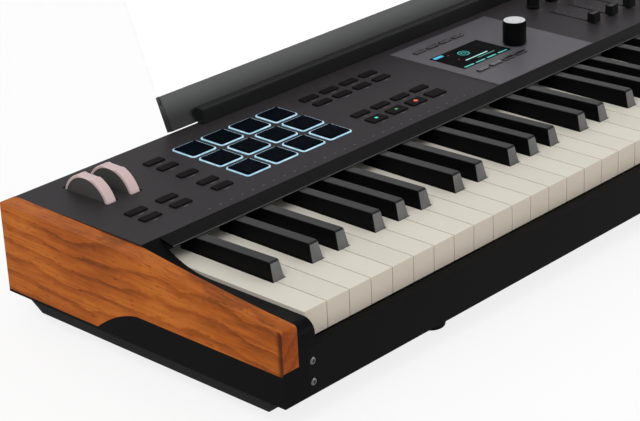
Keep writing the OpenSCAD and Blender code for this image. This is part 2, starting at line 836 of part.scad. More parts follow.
module screws() {
    color([0.75, 0.75, 0.77]) in_frame() {
        for (right = [false, true]) at_end(right) {
            for (z = rail_screw_z) {
                pin_y(screw_r + 1, front_y, front_y + 1.6, -4, z);
                pin_y(screw_r, front_y + 1.5, front_y + 13, -4, z);
            }
            for (y = cheek_screw_y) {
                pin_x(screw_r, block_out - 8, block_out + block_wall + 0.1, y, cheek_screw_z);
                pin_x(screw_r + 1.8, block_out + block_wall, block_out + block_wall + 2, y, cheek_screw_z);
            }
        }
        for (x = pan_screw_x) {
            post([x, pan_screw_y], screw_r, pan_z - 0.1, case_z + sheet + 2);
            post([x, pan_screw_y], screw_r + 1.8, pan_z - 1.5, pan_z);
        }
    }
}

module wheel_carrier() {
    bottom = wheel_z - wheel_r - 3;
    color([0.07, 0.07, 0.07]) in_frame() {
        difference() {
            union() {
                for (n = [0, 1, 2]) {
                    x = wheel_first_x + (n - 0.5) * wheel_pitch;
                    block(
                        [x - carrier_t / 2, wheel_y - wheel_r - 1, bottom],
                        [x + carrier_t / 2, wheel_y + wheel_r + 1, panel_under]
                    );
                }
                block(
                    [wheel_first_x - wheel_pitch / 2, wheel_y - wheel_r - 1, bottom],
                    [wheel_first_x + 1.5 * wheel_pitch, wheel_y + wheel_r + 1, bottom + 2]
                );
            }
            pin_x(
                axle_r + running_gap, wheel_first_x - wheel_pitch, wheel_first_x + 2 * wheel_pitch,
                wheel_y, wheel_z
            );
        }
        pin_x(
            axle_r, wheel_first_x - wheel_pitch / 2 - carrier_t / 2 - axle_overhang,
            carrier_right, wheel_y, wheel_z
        );
    }
}

// --- moving controls -------------------------------------------------------

notch_r = 7;
notch_depth = 2.4;

module wheel(n) {
    x = wheel_first_x + n * wheel_pitch;
    color([0.55, 0.54, 0.52]) in_frame() difference() {
        pin_x(wheel_r, x - wheel_w / 2, x + wheel_w / 2, wheel_y, wheel_z, $fn = 96);
        pin_x(axle_r + running_gap, x - wheel_w, x + wheel_w, wheel_y, wheel_z);
        // Finger notch across the rim
        pin_x(notch_r, x - wheel_w, x + wheel_w, wheel_y - 3, wheel_z + wheel_r + notch_r - notch_depth);
        // Recess in each side
        for (face = [x - wheel_w / 2, x + wheel_w / 2]) difference() {
            pin_x(wheel_r - 4, face - 1.5, face + 1.5, wheel_y, wheel_z);
            pin_x(axle_r + 3, face - 2, face + 2, wheel_y, wheel_z);
        }
    }
}

module pitch_wheel() { wheel(0); }
module mod_wheel() { wheel(1); }

push_travel = 0.5;
encoder_foot = bezel_top + encoder_lift;
encoder_head = encoder_foot + encoder_h;

module encoder_shaft() {
    color([0.7, 0.7, 0.72]) in_frame()
        post(encoder_at, shaft_r, board_top + 1.6 + push_travel, encoder_head - 6);
}

module encoder_knob() {
    color([0.1, 0.1, 0.1]) in_frame() difference() {
        union() {
            post(encoder_at, encoder_r, encoder_foot, encoder_head - 1, $fn = 96);
            post(encoder_at, encoder_r - 0.6, encoder_head - 1.1, encoder_head, $fn = 96);
        }
        post(encoder_at, shaft_r + running_gap, encoder_foot - 1, encoder_head - 5);
    }
}

module knob(n) {
    at = [fader_x(n), knob_row_y];
    foot = panel_top + knob_lift;
    color([0.1, 0.1, 0.1]) in_frame() difference() {
        union() {
            post(at, knob_r, foot, foot + knob_h);
            post(at, shaft_r, board_top + 2, foot + 1);
        }
        // Pointer groove
        block(
            [at[0] - 0.4, at[1] + knob_r * 0.3, foot + knob_h - 0.5],
            [at[0] + 0.4, at[1] + knob_r + 1, foot + knob_h + 1]
        );
    }
}

module fader_cap(n) {
    x = fader_x(n);
    foot = panel_top + cap_lift;
    color([0.13, 0.13, 0.13]) in_frame() {
        along_x(x - cap_size[0] / 2, x + cap_size[0] / 2) polygon([
            [fader_row_y - cap_size[1] / 2, foot], [fader_row_y + cap_size[1] / 2, foot],
            [fader_row_y + cap_size[1] / 2 - 0.8, foot + cap_size[2]],
            [fader_row_y + 1, foot + cap_size[2] - 1.2], [fader_row_y - 1, foot + cap_size[2] - 1.2],
            [fader_row_y - cap_size[1] / 2 + 0.8, foot + cap_size[2]]
        ]);
        block(
            [x - stem[0] / 2, fader_row_y - stem[1] / 2, board_top + 2.5],
            [x + stem[0] / 2, fader_row_y + stem[1] / 2, foot + 0.01]
        );
    }
}

module knob_1() { knob(1); }
module knob_2() { knob(2); }
module knob_3() { knob(3); }
module knob_4() { knob(4); }
module knob_5() { knob(5); }
module knob_6() { knob(6); }
module knob_7() { knob(7); }
module knob_8() { knob(8); }
module knob_9() { knob(9); }
module fader_cap_1() { fader_cap(1); }
module fader_cap_2() { fader_cap(2); }
module fader_cap_3() { fader_cap(3); }
module fader_cap_4() { fader_cap(4); }
module fader_cap_5() { fader_cap(5); }
module fader_cap_6() { fader_cap(6); }
module fader_cap_7() { fader_cap(7); }
module fader_cap_8() { fader_cap(8); }
module fader_cap_9() { fader_cap(9); }

module pads() {
    color([0.1, 0.11, 0.13]) in_frame() for (c = pad_cols, r = pad_rows)
        round_plate(
            pad_at(c, r), pad_side, pad_side, 1.5, board_top + pad_travel + 0.1, panel_top + pad_rise
        );
}

module button(at, w, d, top) {
    round_plate(at, w, d, 1, button_foot, top);
}

module left_buttons() {
    color([0.2, 0.2, 0.2]) in_frame()
        for (p = left_button_at) button([p[0], panel_y + p[1]], button_w, button_d, panel_top + button_rise);
}

module centre_buttons() {
    color([0.2, 0.2, 0.2]) in_frame() for (x = centre_button_x) {
        for (y = centre_button_y) button([x, panel_y + y], button_w, button_d, panel_top + button_rise);
        button([x, panel_y + transport_y], button_w, transport_d, panel_top + button_rise);
    }
}

module display_buttons() {
    color([0.3, 0.3, 0.31]) in_frame() for (x = display_button_x, y = display_button_y)
        round_plate(
            [x, panel_y + y], display_button[0], display_button[1], 0.8, button_foot, bezel_top + button_rise
        );
}

// --- music rest ------------------------------------------------------------

rest_x = [keys_w / 2 - rest_len / 2, keys_w / 2 + rest_len / 2];
rest_step = 31;
groove_depth = 8;

// Turns a shape that is drawn upright at the origin back by the rest's lean
module leaned() {
    translate([0, rest_y, panel_top + 0.3]) rotate([-rest_lean, 0, 0]) children();
}

module music_rest_bar() {
    color([0.14, 0.14, 0.15]) in_frame() {
        difference() {
            union() {
                leaned() block([rest_x[0], 0, 2], [rest_x[1], rest_t, rest_bar_h]);
                // Foot that stands on the panel
                block(
                    [rest_x[0] + rest_step, rest_y - 4.5, panel_top],
                    [rest_x[1] - rest_step, rest_y + 3, panel_top + 14]
                );
                for (x = rest_peg_x)
                    block(
                        [x - rest_peg[0] / 2, rest_peg_y - rest_peg[1] / 2, panel_under - 6],
                        [x + rest_peg[0] / 2, rest_peg_y + rest_peg[1] / 2, panel_top + 1]
                    );
            }
            leaned() block(
                [rest_x[0] - 1, (rest_t - rest_panel_t) / 2 - 0.1, rest_bar_h - groove_depth],
                [rest_x[1] + 1, (rest_t + rest_panel_t) / 2 + 0.1, rest_bar_h + 1]
            );
        }
    }
}

module music_rest_panel() {
    color([0.8, 0.85, 0.88, 0.4]) in_frame() leaned() block(
        [rest_x[0] + 0.5, (rest_t - rest_panel_t) / 2, rest_bar_h - groove_depth + 0.1],
        [rest_x[1] - 0.5, (rest_t + rest_panel_t) / 2, rest_bar_h + rest_panel_h]
    );
}

bottom_pan();
front_rail();
left_end_block();
right_end_block();
left_wood_cheek();
right_wood_cheek();
top_panel();
display_bezel();
display_window();
rear_panel();
key_frame();
key_felts();
key_springs();
circuit_boards();
control_pots();
wheel_carrier();
pad_light_frames();
rear_sockets();
rubber_feet();
screws();
music_rest_bar();
music_rest_panel();
keys_a();
keys_a_sharp();
keys_b();
keys_c();
keys_c_sharp();
keys_d();
keys_d_sharp();
keys_e();
keys_f();
keys_f_sharp();
keys_g();
keys_g_sharp();
pitch_wheel();
mod_wheel();
encoder_shaft();
encoder_knob();
knob_1();
knob_2();
knob_3();
knob_4();
knob_5();
knob_6();
knob_7();
knob_8();
knob_9();
fader_cap_1();
fader_cap_2();
fader_cap_3();
fader_cap_4();
fader_cap_5();
fader_cap_6();
fader_cap_7();
fader_cap_8();
fader_cap_9();
pads();
left_buttons();
centre_buttons();
display_buttons();
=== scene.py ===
"""Looks of the stage synthesizer: its case, keys, wheels, pads, buttons, screen and music rest.

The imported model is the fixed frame, in metres. Each class below dresses or replaces the nodes
of one sub-assembly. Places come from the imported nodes' own boxes, and MM turns a size in
millimetres into metres.
"""

import json
import logging
import math
from collections.abc import Callable, Iterable, Sequence
from dataclasses import dataclass, field
from enum import Enum

import bmesh
import bpy
from mathutils import Matrix, Vector


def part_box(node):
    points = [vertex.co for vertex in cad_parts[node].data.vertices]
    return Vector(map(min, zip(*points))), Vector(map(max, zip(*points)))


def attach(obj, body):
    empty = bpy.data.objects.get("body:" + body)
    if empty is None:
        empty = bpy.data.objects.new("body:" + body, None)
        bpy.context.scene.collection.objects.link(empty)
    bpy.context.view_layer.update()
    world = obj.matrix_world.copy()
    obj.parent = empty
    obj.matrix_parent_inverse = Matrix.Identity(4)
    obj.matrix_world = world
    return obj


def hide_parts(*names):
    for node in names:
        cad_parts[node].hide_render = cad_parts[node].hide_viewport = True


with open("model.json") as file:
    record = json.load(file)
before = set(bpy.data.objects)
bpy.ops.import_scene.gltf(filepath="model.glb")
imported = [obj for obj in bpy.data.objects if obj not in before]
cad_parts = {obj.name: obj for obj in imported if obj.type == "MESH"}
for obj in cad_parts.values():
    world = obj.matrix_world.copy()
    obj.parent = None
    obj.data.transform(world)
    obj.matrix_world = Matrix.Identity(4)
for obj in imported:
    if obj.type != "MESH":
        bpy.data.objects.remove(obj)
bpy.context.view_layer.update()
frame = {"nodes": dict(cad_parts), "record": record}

MM = 0.001
BLACK_LETTERS = ("a_sharp", "c_sharp", "d_sharp", "f_sharp", "g_sharp")
WHITE_LETTERS = ("a", "b", "c", "d", "e", "f", "g")
WHITE_KEYS = 52
COLUMNS = range(1, 10)

Colour = tuple[float, float, float]
Point = tuple[float, float, float]
Socket = bpy.types.NodeSocket
Vert = bmesh.types.BMVert
Mesh = bmesh.types.BMesh
WHITE: Colour = (1.0, 1.0, 1.0)
UNIT: Point = (1.0, 1.0, 1.0)
ORIGIN: Point = (0.0, 0.0, 0.0)

log = logging.getLogger("synthesizer")


class Axis(Enum):
    """A direction that a round piece's own Z is turned to."""

    X = Matrix.Rotation(math.radians(90), 4, "Y")
    Y = Matrix.Rotation(math.radians(-90), 4, "X")
    Z = Matrix.Identity(4)


@dataclass(frozen=True)
class Box:
    """The lowest and highest corner of a solid, in metres."""

    low: Vector
    high: Vector

    @property
    def middle(self) -> Vector:
        """The box's centre."""
        return (self.low + self.high) / 2

    @property
    def size(self) -> Vector:
        """The box's extents."""
        return self.high - self.low

    @property
    def top(self) -> Vector:
        """The centre of the box's upper face."""
        return Vector((self.middle.x, self.middle.y, self.high.z))


def node_box(node: str) -> Box:
    """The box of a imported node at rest."""
    return Box(*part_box(node))


def islands(shape: Mesh) -> list[list[Vert]]:
    """Splits a mesh into its connected solids.

    Args:
        shape: A mesh whose doubles are merged.

    Returns:
        One list of vertices for each solid.
    """
    waiting = set(shape.verts)
    found = []
    while waiting:
        reached = [waiting.pop()]
        for vert in reached:
            for edge in vert.link_edges:
                other = edge.other_vert(vert)
                if other in waiting:
                    waiting.discard(other)
                    reached.append(other)
        found.append(reached)
    return found


def solids(node: str) -> list[Box]:
    """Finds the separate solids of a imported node.

    Args:
        node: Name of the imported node.

    Returns:
        Their boxes, from left to right and then from front to back.
    """
    shape = bmesh.new()
    shape.from_mesh(frame["nodes"][node].data)
    bmesh.ops.remove_doubles(shape, verts=shape.verts, dist=0.002 * MM)
    boxes = []
    for verts in islands(shape):
        spans = [[vert.co[i] for vert in verts] for i in range(3)]
        boxes.append(Box(Vector(map(min, spans)), Vector(map(max, spans))))
    shape.free()
    return sorted(boxes, key=lambda box: (round(box.low.x, 4), round(box.low.y, 4)))


# --- shader maths ------------------------------------------------------------------------


class Reading:
    """A number that changes over a surface. Python's operators add the Math nodes."""

    def __init__(self, recipe: "NodeBench", socket: Socket) -> None:
        """Wraps an output socket of the recipe's tree."""
        self.recipe = recipe
        self.socket = socket

    def _math(self, operation: str, first: object, second: object) -> "Reading":
        """Adds one Math node and wraps its result."""
        made = self.recipe.node("ShaderNodeMath", {"operation": operation}, {0: first, 1: second})
        return Reading(self.recipe, made.outputs[0])

    def __add__(self, other: object) -> "Reading":
        """self + other."""
        return self._math("ADD", self, other)

    def __sub__(self, other: object) -> "Reading":
        """self - other."""
        return self._math("SUBTRACT", self, other)

    def __rsub__(self, other: object) -> "Reading":
        """other - self."""
        return self._math("SUBTRACT", other, self)

    def __mul__(self, other: object) -> "Reading":
        """self * other."""
        return self._math("MULTIPLY", self, other)

    __radd__ = __add__
    __rmul__ = __mul__

    def floor(self) -> "Reading":
        """The whole number below the reading."""
        return self._math("FLOOR", self, 0.0)

    def fraction(self) -> "Reading":
        """What the reading has past its whole number."""
        return self._math("FRACT", self, 0.0)

    def root(self) -> "Reading":
        """The square root of the reading."""
        return self._math("SQRT", self, 0.0)

    def step(self, start: float, end: float) -> "Reading":
        """Rises smoothly from 0 to 1.

        Args:
            start: Reading at which the result is 0.
            end: Reading at which the result is 1. It may be below start.

        Returns:
            The eased reading, held between 0 and 1.
        """
        low, high = min(start, end), max(start, end)
        made = self.recipe.node(
            "ShaderNodeMapRange",
            {"interpolation_type": "SMOOTHSTEP"},
            {"Value": self, "From Min": low, "From Max": high},
        )
        rising = Reading(self.recipe, made.outputs[0])
        return rising if end > start else 1 - rising


class NodeBench:
    """The nodes of one material or sky while they are joined."""

    def __init__(self, tree: bpy.types.NodeTree) -> None:
        """Takes the tree that the nodes go into."""
        self.tree = tree

    def node(
        self, kind: str, settings: dict[str, object], sockets: dict[str | int, object]
    ) -> bpy.types.Node:
        """Adds one node.

        Args:
            kind: Blender's name for the node's type.
            settings: Properties that are set first. "stops" fills a colour ramp.
            sockets: A value, a Reading or a socket for each input.

        Returns:
            The new node.
        """
        made = self.tree.nodes.new(kind)
        for name, value in settings.items():
            if name == "stops":
                self._fill(made.color_ramp, value)
            else:
                setattr(made, name, value)
        for name, value in sockets.items():
            self.join(value, made.inputs[name])
        return made

    def _fill(self, ramp: bpy.types.ColorRamp, stops: Sequence[tuple[float, Colour]]) -> None:
        """Gives a colour ramp its stops."""
        while len(ramp.elements) < len(stops):
            ramp.elements.new(1.0)
        for element, (place, colour) in zip(ramp.elements, stops):
            element.position = place
            element.color = (*colour, 1.0)

    def join(self, value: object, socket: Socket) -> None:
        """Links a Reading or a socket to an input, or sets the input's own value."""
        if isinstance(value, Reading):
            self.tree.links.new(value.socket, socket)
        elif isinstance(value, Socket):
            self.tree.links.new(value, socket)
        elif socket.type == "RGBA":
            socket.default_value = (*value, 1.0)
        else:
            socket.default_value = value

    def seen(self) -> Reading:
        """1 for what the camera, a reflection or a clear piece looks at, else 0."""
        path = self.node("ShaderNodeLightPath", {}, {})
        camera, glossy, clear = (
            Reading(self, path.outputs[f"Is {kind} Ray"]) for kind in ("Camera", "Glossy", "Transmission")
        )
        return camera + glossy + clear


class Recipe(NodeBench):
    """One material while it is mixed."""

    def __init__(self, name: str) -> None:
        """Starts a material with a Principled shader."""
        self.material = bpy.data.materials.new(name)
        self.material.use_nodes = True
        super().__init__(self.material.node_tree)
        self.shader = self.tree.nodes["Principled BSDF"]

    def set(self, **values: object) -> "Recipe":
        """Sets or links the shader's sockets, named with _ for a space."""
        for name, value in values.items():
            self.join(value, self.shader.inputs[name.replace("_", " ")])
        return self

    def place(self, stretch: Point = UNIT, move: Point = ORIGIN) -> Socket:
        """The object's own coordinates, stretched and then moved."""
        source = self.node("ShaderNodeTexCoord", {}, {})
        sockets = {"Vector": source.outputs["Object"], "Location": move, "Scale": stretch}
        return self.node("ShaderNodeMapping", {}, sockets).outputs[0]

    def along(self, axis: str, place: Socket | None = None) -> Reading:
        """One coordinate of a place, or of the object's own coordinates."""
        split = self.node("ShaderNodeSeparateXYZ", {}, {0: place or self.place()})
        return Reading(self, split.outputs[axis])

    def facing(self, axis: str) -> Reading:
        """How far the surface faces an axis, from -1 to 1."""
        source = self.node("ShaderNodeNewGeometry", {}, {})
        return self.along(axis, source.outputs["Normal"])

    def fronting(self, start: float, end: float) -> Reading:
        """0 where the surface faces the player less than start, and 1 where it does so more than end."""
        return (0.0 - self.facing("Y")).step(start, end)

    def noise(
        self, scale: float, detail: float = 3.0, rough: float = 0.5, stretch: Point = UNIT
    ) -> Reading:
        """A cloudy pattern around 0.5."""
        place = self.place(stretch)
        sockets = {"Vector": place, "Scale": scale, "Detail": detail, "Roughness": rough}
        return Reading(self, self.node("ShaderNodeTexNoise", {}, sockets).outputs[0])

    def lottery(self, number: Reading) -> Reading:
        """A fixed random value from 0 to 1 for each whole number."""
        made = self.node("ShaderNodeTexWhiteNoise", {"noise_dimensions": "1D"}, {"W": number})
        return Reading(self, made.outputs["Value"])

    def mix(self, share: object, first: object, second: object) -> Socket:
        """A colour between first and second."""
        made = self.node("ShaderNodeMix", {"data_type": "RGBA"}, {0: share, 6: first, 7: second})
        return made.outputs[2]

    def shades(self, share: Reading, stops: Sequence[tuple[float, Colour]]) -> Socket:
        """A colour read from a ramp."""
        return self.node("ShaderNodeValToRGB", {"stops": stops}, {0: share}).outputs[0]

    def relief(self, height: Reading, depth: float, strength: float = 1.0) -> Socket:
        """A bumped normal, whose height of 1 stands for depth in metres."""
        made = self.node("ShaderNodeBump", {}, {"Height": height, "Distance": depth, "Strength": strength})
        return made.outputs[0]


def scaled(colour: Colour, share: float) -> Colour:
    """A colour made lighter or darker."""
    return tuple(min(1.0, part * share) for part in colour)


# --- finishes ----------------------------------------------------------------------------


@dataclass(frozen=True)
class Finish:
    """A finish, and the record's material slot that it belongs to if their names differ."""

    name: str
    colour: Colour
    roughness: float = 0.5
    shine: float = 0.3
    slot: str = ""

    def dress(self, recipe: Recipe) -> None:
        """Mixes the finish. Each kind of finish has its own."""
        raise NotImplementedError

    def shade(self, recipe: Recipe, share: object, low: float, high: float) -> Socket:
        """The colour, from low to high times its own, as the share goes from 0 to 1."""
        return recipe.mix(share, scaled(self.colour, low), scaled(self.colour, high))

    def material(self) -> bpy.types.Material:
        """The finish as a material, mixed once."""
        title = f"{self.name}_finish"
        made = bpy.data.materials.get(title)
        if made is None:
            recipe = Recipe(title)
            recipe.set(Specular_IOR_Level=self.shine)
            self.dress(recipe)
            made = recipe.material
        return made


@dataclass(frozen=True)
class Paint(Finish):
    """Satin paint on sheet metal, with a faint orange peel and handling marks."""

    peel: float = 0.02 * MM

    def dress(self, recipe: Recipe) -> None:
        """Mixes the paint."""
        clouds = recipe.noise(9.0, 4.0)
        wipes = recipe.noise(22.0, 3.0, 0.6, (0.25, 1.0, 1.0))
        speckle = recipe.noise(2600.0, 2.0)
        recipe.set(
            Base_Color=self.shade(recipe, clouds * 0.7 + speckle * 0.3, 0.86, 1.14),
            Roughness=wipes * 0.12 + clouds * 0.06 + (self.roughness - 0.09),
            Normal=recipe.relief(recipe.noise(900.0, 2.0), self.peel, 0.5),
        )


@dataclass(frozen=True)
class LedgedPaint(Paint):
    """Panel paint that ends at the panel's front edge, with a black ledge in front of it. The front wall is
    painted black as painted shade, and the ledge's lip gets a painted grey highlight.
    """

    edge: float = 0.0
    # The lip colour is a painted highlight: the grey line where the ledge's front edge catches the light.
    lip_highlight: Colour = (0.10, 0.10, 0.10)
    ledge: Colour = (0.0015, 0.0015, 0.0018)

    def dress(self, recipe: Recipe) -> None:
        """Mixes the paint, blackens the ledge, paints the front wall black as painted shade, and paints a
        grey highlight on the lip.
        """
        super().dress(recipe)
        paint = recipe.shader.inputs["Base Color"].links[0].from_socket
        front = recipe.fronting(0.5, 0.9)
        # Painted shade: the front wall at the panel's edge is painted black.
        wall_shade = front * recipe.along("Y").step(self.edge + 0.5 * MM, self.edge + 0.2 * MM)
        # Painted highlight: front faces well ahead of the edge get the grey lip colour.
        lip_highlight = front * recipe.along("Y").step(self.edge - 5.0 * MM, self.edge - 9.0 * MM)
        forward = recipe.along("Y").step(self.edge, self.edge - 0.3 * MM)
        share = forward + wall_shade * (1.0 - forward)
        recipe.set(Base_Color=recipe.mix(share, paint, recipe.mix(lip_highlight, self.ledge, self.lip_highlight)))


@dataclass(frozen=True)
class FootShadedPaint(Paint):
    """Satin paint on a rolled bar, with painted light: the upper part has the lit colour as a painted
    highlight, and the paint is painted darker towards the foot as painted shade.
    """

    foot: float = 0.106
    crest: float = 0.127

    def dress(self, recipe: Recipe) -> None:
        """Mixes the paint, and paints shade on it towards the foot."""
        super().dress(recipe)
        paint = recipe.shader.inputs["Base Color"].links[0].from_socket
        # Painted shade below the crest, darkest at the foot, where the bar faces away from the light.
        lit_share = recipe.along("Z").step(self.foot, self.crest)
        recipe.set(Base_Color=recipe.mix(lit_share, scaled(self.colour, 0.12), paint))


@dataclass(frozen=True)
class KeyMoulding(Finish):
    """Black key: matt sides, a greyer top that is painted sheen, and a polished slope at the front whose
    paler colour is a painted reflection.
    """

    # Painted light: the top colour is a painted sheen on the key tops, and the slope colour is a painted
    # reflection on the front slope.
    top: Colour = (0.036, 0.036, 0.037)
    slope_reflection: Colour = (0.15, 0.15, 0.148)

    def dress(self, recipe: Recipe) -> None:
        """Mixes the moulding."""
        sparks = recipe.noise(1500.0, 3.0, 0.6)
        patchy = recipe.noise(45.0, 4.0, 0.6, (1.0, 0.3, 1.0))
        # Painted sheen on the top and painted reflection on the front slope, both made patchy by streaky
        # noise that also varies the roughness.
        top_sheen_share = recipe.facing("Z").step(0.6, 0.97)
        front = recipe.fronting(0.75, 0.95)
        sheened_top = recipe.mix(top_sheen_share * (patchy * 0.8 + 0.55), self.colour, self.top)
        recipe.set(
            Base_Color=recipe.mix(front * (patchy * 0.9 + 0.45), sheened_top, self.slope_reflection),
            Roughness=sparks * 0.1 + patchy * 0.1 + (self.roughness - 0.1) - front * 0.06,
            Normal=recipe.relief(sparks, 0.02 * MM, 0.4),
        )


@dataclass(frozen=True)
class Moulding(Finish):
    """Moulded plastic with a fine spark grain."""

    grain: float = 0.03 * MM

    def dress(self, recipe: Recipe) -> None:
        """Mixes the moulding."""
        sparks = recipe.noise(1500.0, 3.0, 0.6)
        clouds = recipe.noise(14.0, 3.0)
        recipe.set(
            Base_Color=self.shade(recipe, clouds, 0.82, 1.18),
            Roughness=sparks * 0.1 + clouds * 0.08 + (self.roughness - 0.09),
            Normal=recipe.relief(sparks, self.grain, 0.4),
        )


@dataclass(frozen=True)
class Rubber(Finish):
    """Matt silicone or rubber, with dust in its finest grain."""

    def dress(self, recipe: Recipe) -> None:
        """Mixes the rubber."""
        dust = recipe.noise(3000.0, 2.0)
        touch = recipe.noise(60.0, 4.0)
        recipe.set(
            Base_Color=self.shade(recipe, touch * 0.6 + dust * 0.4, 0.75, 1.25),
            Roughness=touch * 0.2 + (self.roughness - 0.1),
            Normal=recipe.relief(dust, 0.02 * MM, 0.4),
        )


@dataclass(frozen=True)
class Gloss(Finish):
    """Polished plastic or glass, with faint finger marks under a clear coat."""

    coat: float = 0.4

    def dress(self, recipe: Recipe) -> None:
        """Mixes the gloss."""
        prints = recipe.noise(180.0, 4.0, 0.6)
        recipe.set(
            Base_Color=self.shade(recipe, prints, 0.85, 1.15),
            Roughness=prints.step(0.45, 0.75) * 0.08 + self.roughness,
            Coat_Weight=self.coat,
            Coat_Roughness=0.06,
            Normal=recipe.relief(recipe.noise(25.0, 2.0), 0.02 * MM, 0.3),
        )


class Brushing(Enum):
    """How the brush went over a metal."""

    ALONG_X = (0.02, 1.0, 1.0)
    ALONG_Y = (1.0, 0.02, 1.0)
    ALONG_Z = (1.0, 1.0, 0.02)


@dataclass(frozen=True)
class Metal(Finish):
    """Bare metal with the fine lines of its brushing or rolling."""

    brushing: Brushing = Brushing.ALONG_X

    def dress(self, recipe: Recipe) -> None:
        """Mixes the metal."""
        lines = recipe.noise(2400.0, 4.0, 0.7, self.brushing.value)
        stains = recipe.noise(30.0, 4.0)
        recipe.set(
            Base_Color=self.shade(recipe, lines * 0.7 + stains * 0.3, 0.8, 1.15),
            Metallic=1.0,
            Roughness=lines * 0.16 + stains * 0.08 + (self.roughness - 0.12),
            Normal=recipe.relief(lines, 0.01 * MM, 0.5),
        )


@dataclass(frozen=True)
class TurnedMetal(Finish):
    """Metal faced on a lathe: fine rings about the knob's own axis."""

    centre: Point = (0.0, 0.0, 0.0)

    def dress(self, recipe: Recipe) -> None:
        """Mixes the rings."""
        place = recipe.place(move=tuple(-part for part in self.centre))
        across, deep = recipe.along("X", place), recipe.along("Y", place)
        reach = (across * across + deep * deep).root()
        rings = recipe.lottery((reach * 9000.0).floor())
        recipe.set(
            Base_Color=self.shade(recipe, rings, 0.9, 1.06),
            Metallic=1.0,
            Roughness=rings * 0.15 + self.roughness,
            Normal=recipe.relief(rings, 0.006 * MM, 0.5),
        )


@dataclass(frozen=True)
class OiledWood(Finish):
    """Solid wood: growth rings cut along the cheek, pores, a knot and darker end grain."""

    dark: Colour = (0.085, 0.016, 0.004)
    pale: Colour = (0.52, 0.155, 0.022)
    end_grain: Colour = (0.16, 0.026, 0.006)
    ring: float = 0.0125
    heart: tuple[float, float] = (0.585, -0.03)
    knot: Point = (0.0, 0.068, 0.062)
    front: float = 0.0

    def dress(self, recipe: Recipe) -> None:
        """Mixes the wood."""
        waves = recipe.noise(6.0, 2.0, 0.45, (1.0, 0.9, 1.2))
        ripples = recipe.noise(34.0, 4.0, 0.6, (1.0, 0.8, 1.0))
        wide, up = recipe.along("X"), recipe.along("Z") - self.heart[1]
        across = (wide * wide).root() - self.heart[0]
        knot = recipe.place(move=tuple(-part for part in self.knot), stretch=(0.0, 1.0, 0.38))
        near_y, near_z = recipe.along("Y", knot), recipe.along("Z", knot)
        reach = (near_y * near_y + near_z * near_z).root()
        swirl = reach.step(0.030, 0.0)
        waver = waves * 0.055
        distance = (across * across + up * up).root() + waver + ripples * 0.012 + swirl * 0.010
        rings = (distance * (1.0 / self.ring)).fraction()
        late = rings.step(0.35, 0.9) - rings.step(0.9, 1.0)
        fibres = recipe.noise(420.0, 5.0, 0.65, (1.0, 0.04, 1.0))
        flecks = recipe.noise(620.0, 3.0, 0.6, (1.0, 0.16, 1.0)).step(0.58, 0.70)
        clouds = recipe.noise(16.0, 4.0, 0.6, (1.0, 0.6, 1.0))
        streak = recipe.noise(85.0, 4.0, 0.6, (1.0, 0.14, 1.0)).step(0.52, 0.72)
        share = (clouds - 0.5) * 1.1 + (fibres - 0.5) * 0.9 - late * 0.26 + 0.68
        brown = scaled(self.colour, 0.55)
        stops = [(0.0, self.dark), (0.30, brown), (0.60, self.colour), (0.95, self.pale)]
        grain = recipe.shades(share, stops)
        streaked = recipe.mix(streak * 0.22, grain, scaled(self.colour, 0.38))
        flecked = recipe.mix(flecks * 0.55, streaked, self.dark)
        core = reach.step(0.0075, 0.001) * fibres.step(0.35, 0.6)
        knotted = recipe.mix(core * 0.85, flecked, self.dark)
        end = recipe.fronting(0.55, 0.9)
        ended = recipe.mix(end * 0.55, knotted, self.end_grain)
        side = recipe.facing("X")
        corner = (side * side).step(0.15, 0.5) * (recipe.along("Y") - self.front).step(0.0065, 0.0015)
        rim = side * recipe.facing("Z")
        outline = corner * 0.85 + (rim * rim).step(0.1, 0.25) * 0.5
        recipe.set(
            Base_Color=recipe.mix(outline, ended, scaled(self.dark, 0.4)),
            Roughness=fibres * 0.2 + flecks * 0.15 + (self.roughness - 0.1),
            Coat_Weight=0.03,
            Coat_Roughness=0.3,
            Normal=recipe.relief(fibres * 0.5 - flecks, 0.06 * MM, 0.6),
        )


@dataclass(frozen=True)
class KeyTop(Finish):
    """Textured white key: fine lines along the key, and no two keys quite the same white. Its front face is
    painted darker and warmer, as painted shade.
    """

    pitch: float = 23.5 * MM
    left: float = 0.0
    # How much darker and warmer the front face is painted, as painted shade.
    front_shade: Colour = (0.80, 0.75, 0.72)

    def dress(self, recipe: Recipe) -> None:
        """Mixes the key top."""
        number = ((recipe.along("X") - self.left) * (1.0 / self.pitch)).floor()
        luck = recipe.lottery(number)
        lines = recipe.noise(950.0, 4.0, 0.6, (1.0, 0.03, 1.0))
        clouds = recipe.noise(16.0, 4.0, 0.6, (1.0, 0.3, 1.0))
        front = recipe.fronting(0.6, 0.95)
        top = self.shade(recipe, lines * 0.35 + clouds * 0.3 + luck * 0.35, 0.9, 1.07)
        # Painted shade: the front face's colour is darkened.
        shaded_front = tuple(part * share for part, share in zip(self.colour, self.front_shade))
        recipe.set(
            Base_Color=recipe.mix(front, top, shaded_front),
            Roughness=lines * 0.14 + clouds * 0.08 + (self.roughness - 0.1),
            Normal=recipe.relief(lines, 0.03 * MM, 0.6),
        )


@dataclass(frozen=True)
class Felt(Finish):
    """Pressed wool felt with loose fibres."""

    def dress(self, recipe: Recipe) -> None:
        """Mixes the felt."""
        fuzz = recipe.noise(1700.0, 5.0, 0.8)
        clumps = recipe.noise(240.0, 3.0)
        recipe.set(
            Base_Color=self.shade(recipe, fuzz * 0.7 + clumps * 0.3, 0.65, 1.2),
            Roughness=self.roughness,
            Sheen_Weight=0.4,
            Sheen_Roughness=0.5,
            Normal=recipe.relief(fuzz, 0.2 * MM, 0.8),
        )


